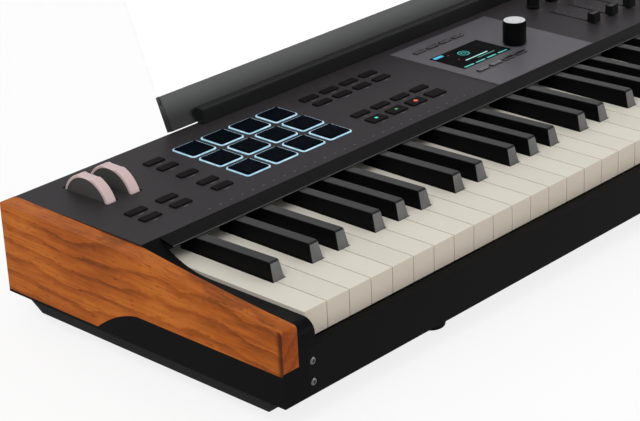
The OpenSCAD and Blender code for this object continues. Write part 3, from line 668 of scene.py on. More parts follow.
@dataclass(frozen=True)
class Board(Finish):
    """Solder mask over copper tracks."""

    def dress(self, recipe: Recipe) -> None:
        """Mixes the board."""
        lanes = (recipe.along("Y") * 520.0).fraction().step(0.35, 0.5)
        routed = recipe.noise(60.0, 1.0, 0.2, (0.3, 3.0, 1.0)).step(0.5, 0.53)
        tracks = lanes * routed
        recipe.set(
            Base_Color=recipe.mix(tracks, self.colour, scaled(self.colour, 2.2)),
            Roughness=tracks * 0.12 + self.roughness,
            Normal=recipe.relief(tracks, 0.04 * MM, 0.7),
        )


@dataclass(frozen=True)
class Glow(Finish):
    """A lit light guide or lamp, slightly uneven over its length."""

    strength: float = 1.0
    edge: Colour = (0.2, 0.5, 0.7)

    def dress(self, recipe: Recipe) -> None:
        """Mixes the glow."""
        uneven = recipe.noise(140.0, 2.0)
        recipe.set(
            Base_Color=scaled(self.colour, 0.35),
            Roughness=self.roughness,
            Emission_Color=recipe.mix(uneven.step(0.35, 0.65), self.edge, self.colour),
            Emission_Strength=self.strength,
        )


@dataclass(frozen=True)
class Clear(Finish):
    """Clear acrylic sheet with a few fine wiping marks."""

    def dress(self, recipe: Recipe) -> None:
        """Mixes the acrylic."""
        wipes = recipe.noise(90.0, 3.0, 0.6, (0.2, 1.0, 1.0))
        recipe.set(
            Base_Color=self.colour,
            Roughness=wipes.step(0.55, 0.8) * 0.02 + self.roughness,
            Transmission_Weight=1.0,
            IOR=1.2,
        )


@dataclass(frozen=True)
class Print(Finish):
    """Screen-printed ink, thin enough to break up a little."""

    def dress(self, recipe: Recipe) -> None:
        """Mixes the ink."""
        patchy = recipe.noise(1600.0, 3.0).step(0.3, 0.6)
        recipe.set(
            Base_Color=recipe.mix(patchy, scaled(self.colour, 0.55), self.colour),
            Roughness=self.roughness,
            Normal=recipe.relief(patchy, 0.01 * MM, 0.4),
        )


# --- bench -------------------------------------------------------------------------------


class Workpiece:
    """One mesh on the bench, shaped with bmesh operators in the model's own metres."""

    def __init__(self) -> None:
        """Starts with an empty mesh."""
        self.bm = bmesh.new()

    def copy(self, node: str) -> "Workpiece":
        """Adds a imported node's shape, with its loose triangles merged into flat faces."""
        self.bm.from_mesh(frame["nodes"][node].data)
        bmesh.ops.remove_doubles(self.bm, verts=self.bm.verts, dist=0.002 * MM)
        bmesh.ops.dissolve_limit(
            self.bm, angle_limit=math.radians(1.0), verts=self.bm.verts, edges=self.bm.edges
        )
        return self

    def block(self, low: Sequence[float], high: Sequence[float]) -> list[Vert]:
        """Adds a block between two corners and returns its vertices."""
        box = Box(Vector(low), Vector(high))
        place = Matrix.Translation(box.middle) @ Matrix.Diagonal((*box.size, 1.0))
        return bmesh.ops.create_cube(self.bm, size=1.0, matrix=place)["verts"]

    def drum(
        self,
        foot: Vector,
        radius: float,
        height: float,
        steps: int = 32,
        top: float | None = None,
        axis: Axis = Axis.Z,
    ) -> list[Vert]:
        """Adds a round bar.

        Args:
            foot: Centre of its foot.
            radius: Radius of its foot.
            height: Its height along the axis.
            steps: Number of its sides.
            top: Radius of its top, if that differs.
            axis: The direction that it stands along.

        Returns:
            Its vertices.
        """
        stand = Matrix.Translation(foot) @ axis.value @ Matrix.Translation((0.0, 0.0, height / 2))
        return bmesh.ops.create_cone(
            self.bm,
            cap_ends=True,
            segments=steps,
            radius1=radius,
            radius2=radius if top is None else top,
            depth=height,
            matrix=stand,
        )["verts"]

    def lathe(
        self, outline: Sequence[tuple[float, float]], centre: Vector, axis: Axis, steps: int
    ) -> list[Vert]:
        """Turns an outline about an axis.

        Args:
            outline: Radius and height of each corner, from one end to the other.
            centre: Where the outline's height is 0 on the axis.
            axis: The axis that it turns about.
            steps: Number of steps in the full turn.

        Returns:
            The new vertices.
        """
        before = set(self.bm.verts)
        row = [self.bm.verts.new((radius, 0.0, height)) for radius, height in outline]
        line = [self.bm.edges.new(pair) for pair in zip(row, row[1:])]
        bmesh.ops.spin(
            self.bm,
            geom=row + line,
            cent=ORIGIN,
            axis=(0, 0, 1),
            angle=math.tau,
            steps=steps,
            use_merge=True,
        )
        made = [vert for vert in self.bm.verts if vert not in before]
        bmesh.ops.remove_doubles(self.bm, verts=made, dist=0.001 * MM)
        made = [vert for vert in self.bm.verts if vert not in before]
        bmesh.ops.transform(self.bm, matrix=Matrix.Translation(centre) @ axis.value, verts=made)
        faces = list({face for vert in made for face in vert.link_faces})
        bmesh.ops.recalc_face_normals(self.bm, faces=faces)
        return made

    def soften(
        self,
        width: float,
        segments: int = 2,
        angle: float = 30.0,
        keep: Callable[[Vector], bool] | None = None,
        verts: Iterable[Vert] | None = None,
    ) -> "Workpiece":
        """Rounds the sharp edges.

        Args:
            width: How far the rounding reaches from each edge.
            segments: Number of its steps.
            angle: Edges that turn less than this, in degrees, stay.
            keep: Tells from an edge's middle whether it is rounded.
            verts: The vertices whose edges are looked at, or all of them.

        Returns:
            The workpiece.
        """
        chosen = None if verts is None else set(verts)
        sharp = [
            edge
            for edge in self.bm.edges
            if edge.is_manifold
            and edge.calc_face_angle(0.0) > math.radians(angle)
            and (chosen is None or (edge.verts[0] in chosen and edge.verts[1] in chosen))
            and (keep is None or keep((edge.verts[0].co + edge.verts[1].co) / 2))
        ]
        bmesh.ops.bevel(
            self.bm,
            geom=sharp,
            offset=width,
            offset_type="OFFSET",
            affect="EDGES",
            segments=segments,
            profile=0.5,
            clamp_overlap=True,
            material=-1,
        )
        return self

    def finish(
        self,
        name: str,
        body: str,
        finish: Finish,
        replaces: Sequence[str] = (),
        crease: float = 38.0,
    ) -> bpy.types.Object:
        """Takes the piece off the bench.

        Args:
            name: Name of the piece.
            body: Body that it moves with.
            finish: Its finish.
            replaces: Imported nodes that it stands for.
            crease: Edges that turn more than this, in degrees, stay sharp.

        Returns:
            The finished object.
        """
        mesh = bpy.data.meshes.new(name)
        self.bm.to_mesh(mesh)
        self.bm.free()
        mesh.materials.append(finish.material())
        mesh.shade_smooth()
        mesh.set_sharp_from_angle(angle=math.radians(crease))
        piece = bpy.data.objects.new(name, mesh)
        bpy.context.scene.collection.objects.link(piece)
        even = piece.modifiers.new("even_normals", "WEIGHTED_NORMAL")
        even.keep_sharp = True
        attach(piece, body)
        if replaces:
            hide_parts(*replaces)
        log.info("%s: %d faces on %s", name, len(mesh.polygons), body)
        return piece


def round_off(
    node: str,
    name: str,
    finish: Finish,
    edge: float,
    segments: int = 3,
    angle: float = 50.0,
    body: str = "case",
    crease: float = 38.0,
) -> None:
    """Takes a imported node's place with a copy of it whose sharp edges are rounded.

    Args:
        node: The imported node.
        name: Name of the new piece.
        finish: Its finish.
        edge: Reach of the rounding.
        segments: Number of its steps.
        angle: Edges that turn less than this, in degrees, stay.
        body: Body that the piece moves with.
        crease: Edges that turn more than this, in degrees, stay sharp in the shading.
    """
    work = Workpiece().copy(node).soften(edge, segments, angle)
    work.finish(name, body, finish, [node], crease)


def coat(node: str, finish: Finish) -> None:
    """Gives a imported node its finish."""
    piece = frame["nodes"][node]
    if not piece.material_slots:
        piece.data.materials.append(None)
    for place in piece.material_slots:
        place.material = finish.material()
    log.info("%s keeps its packed shape", node)


# --- finishes of this instrument ---------------------------------------------------------

KEY_BED = node_box("key_frame")
WHITE_PITCH = KEY_BED.size.x / WHITE_KEYS
CASE_FRONT = node_box("front_rail").low.y
PANEL_EDGE = node_box("display_bezel").low.y

PANEL_PAINT = LedgedPaint("panel_paint", (0.031, 0.0275, 0.030), 0.42, 0.03, edge=PANEL_EDGE)
BEZEL_PAINT = Paint("bezel_paint", (0.098, 0.092, 0.102), 0.40, 0.06)
RAIL_PAINT = Paint("rail_paint", (0.0035, 0.0035, 0.004), 0.38, 0.03)
PAN_PAINT = Paint("pan_paint", (0.014, 0.014, 0.015), 0.55, 0.05)
# The rest bar's colour is its paint, lightened to stand for the lit upper face as a painted highlight; its
# foot is painted shade.
REST_PAINT = FootShadedPaint("rest_bar", (0.105, 0.107, 0.107), 0.34, 0.08)
BLOCK_PLASTIC = Moulding("black_moulding", (0.0035, 0.0035, 0.004), 0.42, 0.025)
SOCKET_PLASTIC = Moulding("socket_plastic", (0.018, 0.018, 0.019), 0.45, 0.1)
KNOB_PLASTIC = Moulding("knob_black", (0.006, 0.006, 0.0065), 0.38, 0.06)
CAP_PLASTIC = Moulding("cap_black", (0.007, 0.007, 0.0075), 0.34, 0.08)
BLACK_KEY = KeyMoulding("black_key", (0.0028, 0.0028, 0.0032), 0.34, 0.05)
WHITE_KEY = KeyTop(
    "white_key", (0.69, 0.65, 0.565), 0.40, 0.2, pitch=WHITE_PITCH, left=KEY_BED.low.x
)
CHEEK_WOOD = OiledWood("cheek_wood", (0.365, 0.088, 0.011), 0.42, 0.04, front=CASE_FRONT)
PAD_RUBBER = Rubber("pad_rubber", (0.0016, 0.0032, 0.0058), 0.5, 0.004)
BUTTON_RUBBER = Rubber("button_grey", (0.0085, 0.0070, 0.0076), 0.6, 0.02)
FOOT_RUBBER = Rubber("foot_rubber", (0.008, 0.008, 0.008), 0.8, 0.05)
WHEEL_RUBBER = Rubber("wheel_rubber", (0.60, 0.45, 0.44), 0.42, 0.3)
WHEEL_SIDE = Rubber("wheel_side", (0.072, 0.070, 0.068), 0.5, 0.1, slot="wheel_rubber")
BUTTON_GLOSS = Gloss("button_metal", (0.012, 0.012, 0.014), 0.25, 0.35, coat=0.2)
WINDOW_GLASS = Gloss("window_glass", (0.0010, 0.0010, 0.0015), 0.15, 0.003, coat=0.0)
ENCODER_GLOSS = Gloss("encoder_black", (0.003, 0.003, 0.0035), 0.16, 0.07, coat=0.04)
BED_STEEL = Metal("bed_steel", (0.45, 0.46, 0.48), 0.40)
POT_STEEL = Metal("pot_metal", (0.42, 0.42, 0.44), 0.38, brushing=Brushing.ALONG_Y)
SPRING_STEEL = Metal("spring_steel", (0.55, 0.53, 0.48), 0.34, brushing=Brushing.ALONG_Y)
SHAFT_STEEL = Metal("control_metal", (0.60, 0.60, 0.62), 0.30, brushing=Brushing.ALONG_Z)
SCREW_STEEL = Metal("screw_steel", (0.14, 0.14, 0.15), 0.42)
NUT_NICKEL = Metal("nut_nickel", (0.66, 0.64, 0.60), 0.28, slot="screw_steel")
WOOL_FELT = Felt("felt", (0.50, 0.49, 0.46), 0.95, 0.1)
GREEN_BOARD = Board("board", (0.010, 0.080, 0.030), 0.40)
LIGHT_GUIDE = Glow("light_guide", (0.50, 0.72, 0.85), 0.35, strength=0.8, edge=(0.26, 0.50, 0.66))
CLEAR_SHEET = Clear("rest_acrylic", (0.985, 0.99, 0.99), 0.02, 0.3)
PANEL_INK = Print("panel_ink", (0.16, 0.155, 0.16), 0.6, slot="panel_paint")
POINTER_INK = Print("pointer_ink", (0.62, 0.61, 0.60), 0.5, slot="knob_black")


# --- case --------------------------------------------------------------------------------


@dataclass
class Case:
    """Shells of the case: painted metal, moulded end blocks and two wooden cheeks."""

    edge: float = 0.5 * MM
    block_edge: float = 1.2 * MM
    cheek_edge: float = 2.6 * MM
    foot_edge: float = 0.8 * MM
    nut_r: float = 7.0 * MM
    nut_t: float = 1.6 * MM
    screw_crown: float = 0.5 * MM
    shank_r: float = 1.5 * MM
    head_t: float = 1.6 * MM
    drive_r: float = 0.45
    drive_depth: float = 0.8 * MM

    def build(self) -> None:
        """Builds the shells and what fastens them."""
        coat("rear_panel", RAIL_PAINT)
        coat("top_panel", PANEL_PAINT)
        coat("wheel_carrier", BLOCK_PLASTIC)
        coat("rear_sockets", SOCKET_PLASTIC)
        round_off("bottom_pan", "pan", PAN_PAINT, self.edge, 2, 30.0)
        round_off("front_rail", "rail", RAIL_PAINT, self.edge, 3, 30.0)
        for side in ("left", "right"):
            round_off(f"{side}_end_block", f"{side}_block", BLOCK_PLASTIC, self.block_edge, 3, 40.0)
            round_off(
                f"{side}_wood_cheek", f"{side}_cheek", CHEEK_WOOD, self.cheek_edge, 4, 50.0, crease=60.0
            )
        round_off("rubber_feet", "feet", FOOT_RUBBER, self.foot_edge, 2, 30.0)
        self.screws()
        self.jack_nuts()

    def screws(self) -> None:
        """Turns every screw with a crowned head and a round recess."""
        work = Workpiece()
        for box in solids("screws"):
            reach = max(range(3), key=lambda i: box.size[i])
            axis = (Axis.X, Axis.Y, Axis.Z)[reach]
            head_low = reach != 0 or box.middle.x > 0
            self.screw(work, box, reach, axis, head_low)
        work.finish("screw_set", "case", SCREW_STEEL, ["screws"])

    def screw(self, work: Workpiece, box: Box, reach: int, axis: Axis, head_low: bool) -> None:
        """Turns one screw.

        Args:
            work: The workpiece it is added to.
            box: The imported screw's box.
            reach: 0, 1 or 2 for a screw along X, Y or Z.
            axis: The same direction as an Axis.
            head_low: True if the head is at the low end.
        """
        head_r = box.size[(reach + 1) % 3] / 2
        shank_r, head_t = self.shank_r, self.head_t
        length = box.size[reach]
        way = 1 if head_low else -1
        end = box.middle.copy()
        end[reach] = box.low[reach] if head_low else box.high[reach]
        outline = [
            (0.0, self.drive_depth), (head_r * self.drive_r, self.drive_depth),
            (head_r * self.drive_r, 0.0), (head_r * 0.8, self.screw_crown * 0.15),
            (head_r, self.screw_crown), (head_r, head_t), (shank_r, head_t),
            (shank_r, length - shank_r), (0.0, length),
        ]
        work.lathe([(radius, way * height) for radius, height in outline], end, axis, 18)

    def jack_nuts(self) -> None:
        """Puts a round nickel nut on each jack socket."""
        jacks = [mount for mount in frame["record"]["mounts"] if mount["kind"] == "bore"]
        back = node_box("rear_panel").high.y
        for number, jack in enumerate(jacks, 1):
            bore = jack["dims"]["r_mm"] * MM
            outline = [
                (bore, 0.0), (bore, self.nut_t), (self.nut_r - 1.2 * MM, self.nut_t),
                (self.nut_r - 0.8 * MM, self.nut_t * 0.6), (self.nut_r, self.nut_t * 0.35),
                (self.nut_r, 0.0), (bore, 0.0),
            ]
            place = Vector((jack["pos_m"][0], back, jack["pos_m"][2]))
            work = Workpiece()
            work.lathe(outline, place, Axis.Y, 48)
            work.finish(f"jack_nut_{number}", "case", NUT_NICKEL)


# --- keyboard ----------------------------------------------------------------------------


@dataclass
class Keyboard:
    """The keys, in a body for each note name, and what carries them."""

    white_edge: float = 0.7 * MM
    black_edge: float = 1.1 * MM
    shown: float = 24.0 * MM

    def build(self) -> None:
        """Rounds and finishes the keys, and coats the bed, the felts and the springs."""
        for letter in WHITE_LETTERS:
            self.keys(letter, self.white_edge, WHITE_KEY)
        for letter in BLACK_LETTERS:
            self.keys(letter, self.black_edge, BLACK_KEY)
        coat("key_frame", BED_STEEL)
        coat("key_felts", WOOL_FELT)
        coat("key_springs", SPRING_STEEL)

    def keys(self, letter: str, edge: float, finish: Finish) -> None:
        """Rounds the visible edges of one note name's keys.

        Args:
            letter: The note name, as its node has it.
            edge: Reach of the rounding.
            finish: Finish of the keys.
        """
        node = f"keys_{letter}"
        level = node_box(node).high.z - self.shown
        work = Workpiece().copy(node).soften(edge, 3, 25.0, keep=lambda place: place.z > level)
        work.finish(f"{letter}_keys", node, finish, [node])


# --- wheels ------------------------------------------------------------------------------


@dataclass
class Wheel:
    """A pitch or modulation wheel: a pale rubber tyre with a finger dip on a dark web."""

    node: str
    shoulder: float = 1.0 * MM
    tyre_t: float = 2.4 * MM
    web_inset: float = 0.5 * MM
    bore_r: float = 3.0 * MM
    dip_reach: float = 8.0 * MM
    dip_depth: float = 2.1 * MM
    steps: int = 180
    hub_r: float = 6.5 * MM
    box: Box = field(init=False)

    def __post_init__(self) -> None:
        """Reads the wheel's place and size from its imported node."""
        self.box = node_box(self.node)

    @property
    def radius(self) -> float:
        """Radius of the tyre."""
        return self.box.size.y / 2

    @property
    def centre(self) -> Vector:
        """Centre of the wheel, on its axle."""
        return Vector((self.box.middle.x, self.box.middle.y, self.box.low.z + self.radius))

    def build(self) -> None:
        """Builds the tyre and the web."""
        self.tyre()
        self.web()

    def tyre(self) -> None:
        """Turns the tyre and presses the finger dip into its top."""
        half = self.box.size.x / 2
        inner = self.radius - self.tyre_t
        outline = [(inner, -half), (self.radius - self.shoulder, -half)]
        outline += [
            (
                self.radius - self.shoulder * (1 - math.sin(math.radians(turn))),
                -half + self.shoulder * (1 - math.cos(math.radians(turn))),
            )
            for turn in (30, 60, 90)
        ]
        outline += [(self.radius, 0.0)]
        outline += [(radius, -height) for radius, height in reversed(outline[:-1])]
        outline += [outline[0]]
        work = Workpiece()
        for vert in work.lathe(outline, self.centre, Axis.X, self.steps):
            self.press(vert, inner)
        work.finish(f"{self.node}_tyre", self.node, WHEEL_RUBBER, [self.node], crease=32.0)

    def press(self, vert: Vert, inner: float) -> None:
        """Moves one corner of the tyre into the finger dip, if it lies there."""
        spoke = vert.co - self.centre
        reach = math.hypot(spoke.y, spoke.z)
        aside = math.atan2(spoke.y, spoke.z) * self.radius
        if abs(aside) >= self.dip_reach:
            return
        share = math.sqrt(1 - (aside / self.dip_reach) ** 2) * (reach - inner) / self.tyre_t
        shrink = 1 - self.dip_depth * share / reach
        vert.co.y = self.centre.y + spoke.y * shrink
        vert.co.z = self.centre.z + spoke.z * shrink

    def web(self) -> None:
        """Turns the dark web, with its hub and its axle bore."""
        half = self.box.size.x / 2 - self.web_inset
        inner = self.radius - self.tyre_t
        hub = half + 0.8 * MM
        outline = [
            (self.bore_r, -hub), (self.hub_r, -hub), (self.hub_r + 0.8 * MM, -half), (inner, -half),
            (inner, half), (self.hub_r + 0.8 * MM, half), (self.hub_r, hub), (self.bore_r, hub),
            (self.bore_r, -hub),
        ]
        work = Workpiece()
        work.lathe(outline, self.centre, Axis.X, 64)
        work.finish(f"{self.node}_web", self.node, WHEEL_SIDE)


# --- pads and buttons --------------------------------------------------------------------


@dataclass
class PadBank:
    """Twelve rubber pads in lit frames."""

    pad_edge: float = 1.0 * MM
    frame_edge: float = 0.25 * MM

    def build(self) -> None:
        """Rounds the pads and lights their frames."""
        round_off("pads", "pad_set", PAD_RUBBER, self.pad_edge, body="pads")
        round_off("pad_light_frames", "pad_frames", LIGHT_GUIDE, self.frame_edge, 2)


class Lamp(Enum):
    """Lit signs on buttons: colour, and the number of sides of the sign."""

    STOP = ((0.05, 0.62, 0.48), 4)
    PLAY = ((0.08, 0.46, 0.16), 3)
    RECORD = ((0.80, 0.09, 0.02), 24)


@dataclass
class Buttons:
    """Every push button of the panel, with the three lit transport signs."""

    edge: float = 0.5 * MM
    sign_r: float = 2.1 * MM
    sign_t: float = 0.08 * MM
    transport_d: float = 11.0 * MM

    def build(self) -> None:
        """Rounds the buttons and lays the lit signs on them."""
        for group, finish in (
            ("left_buttons", BUTTON_RUBBER), ("centre_buttons", BUTTON_RUBBER),
            ("display_buttons", BUTTON_GLOSS),
        ):
            round_off(group, f"{group}_set", finish, self.edge, body=group)
        transport = [box for box in solids("centre_buttons") if box.size.y > self.transport_d]
        for box, lamp in zip(transport, Lamp):
            self.sign(box, lamp)

    def sign(self, box: Box, lamp: Lamp) -> None:
        """Lays one lit sign on a button.

        Args:
            box: The button's box.
            lamp: Which sign it is.
        """
        colour, sides = lamp.value
        title = lamp.name.lower()
        glow = Glow(f"lamp_{title}", colour, 0.4, slot="light_guide", edge=scaled(colour, 0.6))
        turn = math.pi / sides if sides == 4 else 0.0
        work = Workpiece()
        verts = work.drum(box.top, self.sign_r, self.sign_t, sides)
        bmesh.ops.rotate(work.bm, cent=box.top, matrix=Matrix.Rotation(turn, 3, "Z"), verts=verts)
        work.soften(0.02 * MM, 1, 60.0).finish(f"sign_{title}", "centre_buttons", glow)


# --- screen ------------------------------------------------------------------------------


@dataclass
class Screen:
    """The display's bezel, its black window and a plain picture of a dial, bars and tabs."""

    bezel_edge: float = 0.2 * MM
    window_edge: float = 0.15 * MM
    lift: float = 0.02 * MM
    film: float = 0.05 * MM
    teal: Colour = (0.05, 0.45, 0.42)
    pale: Colour = (0.45, 0.80, 0.75)
    blue: Colour = (0.03, 0.42, 0.62)
    red: Colour = (0.55, 0.02, 0.02)
    green: Colour = (0.02, 0.20, 0.16)
    tab: Colour = (0.05, 0.42, 0.40)

    def build(self) -> None:
        """Builds the bezel, the window and the picture."""
        round_off("display_bezel", "bezel", BEZEL_PAINT, self.bezel_edge, 2)
        round_off("display_window", "window", WINDOW_GLASS, self.window_edge, 2)
        window = node_box("display_window")
        blue = self.glow("screen_blue", self.blue, 0.9)
        self.bars("screen_tag", blue, window, [(0.035, 0.86)], (12.5 * MM, 4.2 * MM, 1.2 * MM))
        self.dots(window)
        self.dial(window)
        pale = self.glow("screen_pale", self.pale, 0.7)
        self.bars("screen_title", pale, window, [(0.27, 0.31)], (31 * MM, 1.7 * MM, 0.5 * MM))
        green = self.glow("screen_green", self.green, 0.8)
        self.bars("screen_line", green, window, [(0.45, 0.22)], (24 * MM, 1.4 * MM, 0.4 * MM))
        tabs = [(0.05 + number * 0.235, 0.04) for number in range(4)]
        tab = self.glow("screen_tab", self.tab, 0.8)
        self.bars("screen_tabs", tab, window, tabs, (12.8 * MM, 2.2 * MM, 0.5 * MM))

    def glow(self, name: str, colour: Colour, strength: float = 1.0) -> Glow:
        """One lit colour of the picture."""
        edge = scaled(colour, 0.75)
        return Glow(name, colour, 0.4, slot="window_glass", strength=strength, edge=edge)

    def spot(self, window: Box, across: float, deep: float) -> Vector:
        """A place on the window, in shares of its width and depth from its front left corner."""
        return Vector(
            (
                window.low.x + window.size.x * across,
                window.low.y + window.size.y * deep,
                window.high.z + self.lift,
            )
        )

    def bar(self, work: Workpiece, start: Vector, width: float, depth: float, r: float) -> None:
        """Adds a thin bar with rounded corners, from its front left corner."""
        verts = work.block(start, start + Vector((width, depth, self.film)))
        upright = [
            edge
            for edge in {edge for vert in verts for edge in vert.link_edges}
            if abs(edge.verts[0].co.z - edge.verts[1].co.z) > self.film / 2
        ]
        bmesh.ops.bevel(
            work.bm,
            geom=upright,
            offset=r,
            affect="EDGES",
            segments=4,
            profile=0.5,
            clamp_overlap=True,
            material=-1,
        )

    def bars(
        self,
        name: str,
        glow: Glow,
        window: Box,
        spots: Sequence[tuple[float, float]],
        size: tuple[float, float, float],
    ) -> None:
        """Lays equal bars of one colour.

        Args:
            name: Name of the piece.
            glow: Its colour.
            window: The window's box.
            spots: Place of each bar's front left corner, in shares of the window.
            size: Width, depth and corner radius of each bar.
        """
        work = Workpiece()
        for across, deep in spots:
            self.bar(work, self.spot(window, across, deep), *size)
        work.finish(name, "case", glow)

    def dots(self, window: Box) -> None:
        """Lays the two red dots beside the tag."""
        dots = Workpiece()
        dots.drum(self.spot(window, 0.27, 0.82), 0.7 * MM, self.film, 16)
        dots.drum(self.spot(window, 0.24, 0.48), 0.6 * MM, self.film, 16)
        dots.finish("screen_dots", "case", self.glow("screen_red", self.red, 0.6))

    def dial(self, window: Box) -> None:
        """Lays a ring with a short pointer and four ticks in the middle."""
        centre = self.spot(window, 0.47, 0.66)
        work = Workpiece()
        for inner, outer in ((5.0 * MM, 5.7 * MM), (2.0 * MM, 2.5 * MM)):
            ring = [(inner, 0.0), (outer, 0.0), (outer, self.film), (inner, self.film), (inner, 0.0)]
            work.lathe(ring, centre, Axis.Z, 48)
        for number in range(5):
            turn = Matrix.Rotation(math.radians(-120 + 60 * number), 3, "Z")
            long = 2.6 if number == 3 else 1.2
            low = centre + Vector((-0.25 * MM, (4.6 - long) * MM, 0))
            verts = work.block(low, centre + Vector((0.25 * MM, 4.6 * MM, self.film)))
            bmesh.ops.rotate(work.bm, cent=centre, matrix=turn, verts=verts)
        work.finish("screen_dial", "case", self.glow("screen_teal", self.teal, 1.0))


# --- knobs, encoder and faders -----------------------------------------------------------


def draw_in(vert: Vert, foot: Vector, share: float) -> None:
    """Moves a corner towards the upright axis through foot, by a share of its reach."""
    spoke = (vert.co - foot).xy
    vert.co.x = foot.x + spoke.x * (1 - share)
    vert.co.y = foot.y + spoke.y * (1 - share)


@dataclass
class Encoder:
    """The main encoder: a gloss black body with fine flutes and a bright turned top."""

    flutes: int = 40
    flute_depth: float = 0.18 * MM
    chamfer: float = 0.7 * MM
    rim: float = 1.0 * MM
    disc_t: float = 0.5 * MM

    def build(self) -> None:
        """Builds the body, the disc and the shaft."""
        coat("encoder_shaft", SHAFT_STEEL)
        box = node_box("encoder_knob")
        radius, height = box.size.x / 2, box.size.z
        bore = node_box("encoder_shaft").size.x / 2 + 0.08 * MM
        foot = Vector((box.middle.x, box.middle.y, box.low.z))
        seat = radius - self.rim
        bore_top = node_box("encoder_shaft").high.z - box.low.z + 0.3 * MM
        outline = [
            (0.0, bore_top), (bore, bore_top), (bore, 0.0), (radius - 0.5 * MM, 0.0),
            (radius, 0.5 * MM), (radius, height - self.chamfer - 0.4 * MM),
            (radius - 0.25 * MM, height - 0.4 * MM), (radius - self.rim * 0.6, height - 0.1 * MM),
            (seat, height - 0.2 * MM), (seat, height - self.disc_t), (0.0, height - self.disc_t),
        ]
        work = Workpiece()
        verts = work.lathe(outline, foot, Axis.Z, self.flutes * 4)
        for vert in verts:
            self.flute(vert, foot, radius, height)
        work.finish("encoder_body", "encoder_knob", ENCODER_GLOSS, ["encoder_knob"], crease=30.0)
        top = TurnedMetal(
            "encoder_top", (0.62, 0.62, 0.64), 0.26, 0.5, slot="control_metal", centre=tuple(foot)
        )
        disc = Workpiece()
        disc.lathe(
            [
                (0.0, height - self.disc_t), (seat - 0.05 * MM, height - self.disc_t),
                (seat - 0.05 * MM, height - 0.12 * MM), (seat - 0.4 * MM, height), (0.0, height),
            ],
            foot,
            Axis.Z,
            96,
        )
        disc.finish("encoder_disc", "encoder_knob", top)

    def flute(self, vert: Vert, foot: Vector, radius: float, height: float) -> None:
        """Draws one corner of the grip in, if it lies in a flute."""
        spoke = (vert.co - foot).xy
        level = vert.co.z - foot.z
        if spoke.length < radius - 0.01 * MM or not 0.4 * MM < level < height - self.chamfer:
            return
        wave = 0.5 + 0.5 * math.cos(math.atan2(spoke.y, spoke.x) * self.flutes)
        draw_in(vert, foot, self.flute_depth * wave / radius)


@dataclass
class Knob:
    """A small black knob with fluted sides, a dished top and a white pointer."""

    number: int
    flutes: int = 18
    flute_depth: float = 0.35 * MM
    taper: float = 0.5 * MM
    dish: float = 0.5 * MM
    pointer_w: float = 0.9 * MM
    stem_r: float = 3.0 * MM
    cap_h: float = 15.0 * MM

    def build(self) -> None:
        """Builds the knob on its spindle, with its pointer."""
        node = f"knob_{self.number}"
        box = node_box(node)
        cap = self.cap_h
        radius = box.size.x / 2
        foot = Vector((box.middle.x, box.middle.y, box.high.z - cap))
        top_r = radius - self.taper
        outline = [
            (0.0, box.low.z - foot.z), (self.stem_r, box.low.z - foot.z), (self.stem_r, 0.0),
            (radius - 0.4 * MM, 0.0), (radius, 0.4 * MM), (radius, 1.6 * MM),
            (radius - 0.3 * MM, 2.0 * MM), (top_r, cap - 1.2 * MM),
            (top_r - 0.4 * MM, cap - 0.3 * MM), (top_r - 1.0 * MM, cap),
            (top_r - 1.6 * MM, cap - self.dish * 0.5), (0.0, cap - self.dish),
        ]
        work = Workpiece()
        for vert in work.lathe(outline, foot, Axis.Z, self.flutes * 4):
            self.flute(vert, foot, radius, cap)
        work.finish(f"knob_{self.number}_body", node, KNOB_PLASTIC, [node], crease=34.0)
        self.pointer(node, foot, top_r, cap)

    def flute(self, vert: Vert, foot: Vector, radius: float, cap: float) -> None:
        """Draws one corner of the grip in, if it lies in a flute."""
        spoke = (vert.co - foot).xy
        level = vert.co.z - foot.z
        if spoke.length < radius - self.taper - 0.05 * MM or not 1.9 * MM < level < cap - 0.5 * MM:
            return
        wave = (0.5 - 0.5 * math.cos(math.atan2(spoke.y, spoke.x) * self.flutes)) ** 2
        draw_in(vert, foot, self.flute_depth * wave / spoke.length)

    def pointer(self, node: str, foot: Vector, top_r: float, cap: float) -> None:
        """Lays the pointer over the top's rim, towards the back."""
        work = Workpiece()
        line = work.block(
            foot + Vector((-self.pointer_w / 2, top_r * 0.35, cap - self.dish)),
            foot + Vector((self.pointer_w / 2, top_r + 0.12 * MM, cap + 0.06 * MM)),
        )
        work.soften(0.15 * MM, 2, 60.0, verts=line)
        work.finish(f"knob_{self.number}_pointer", node, POINTER_INK)


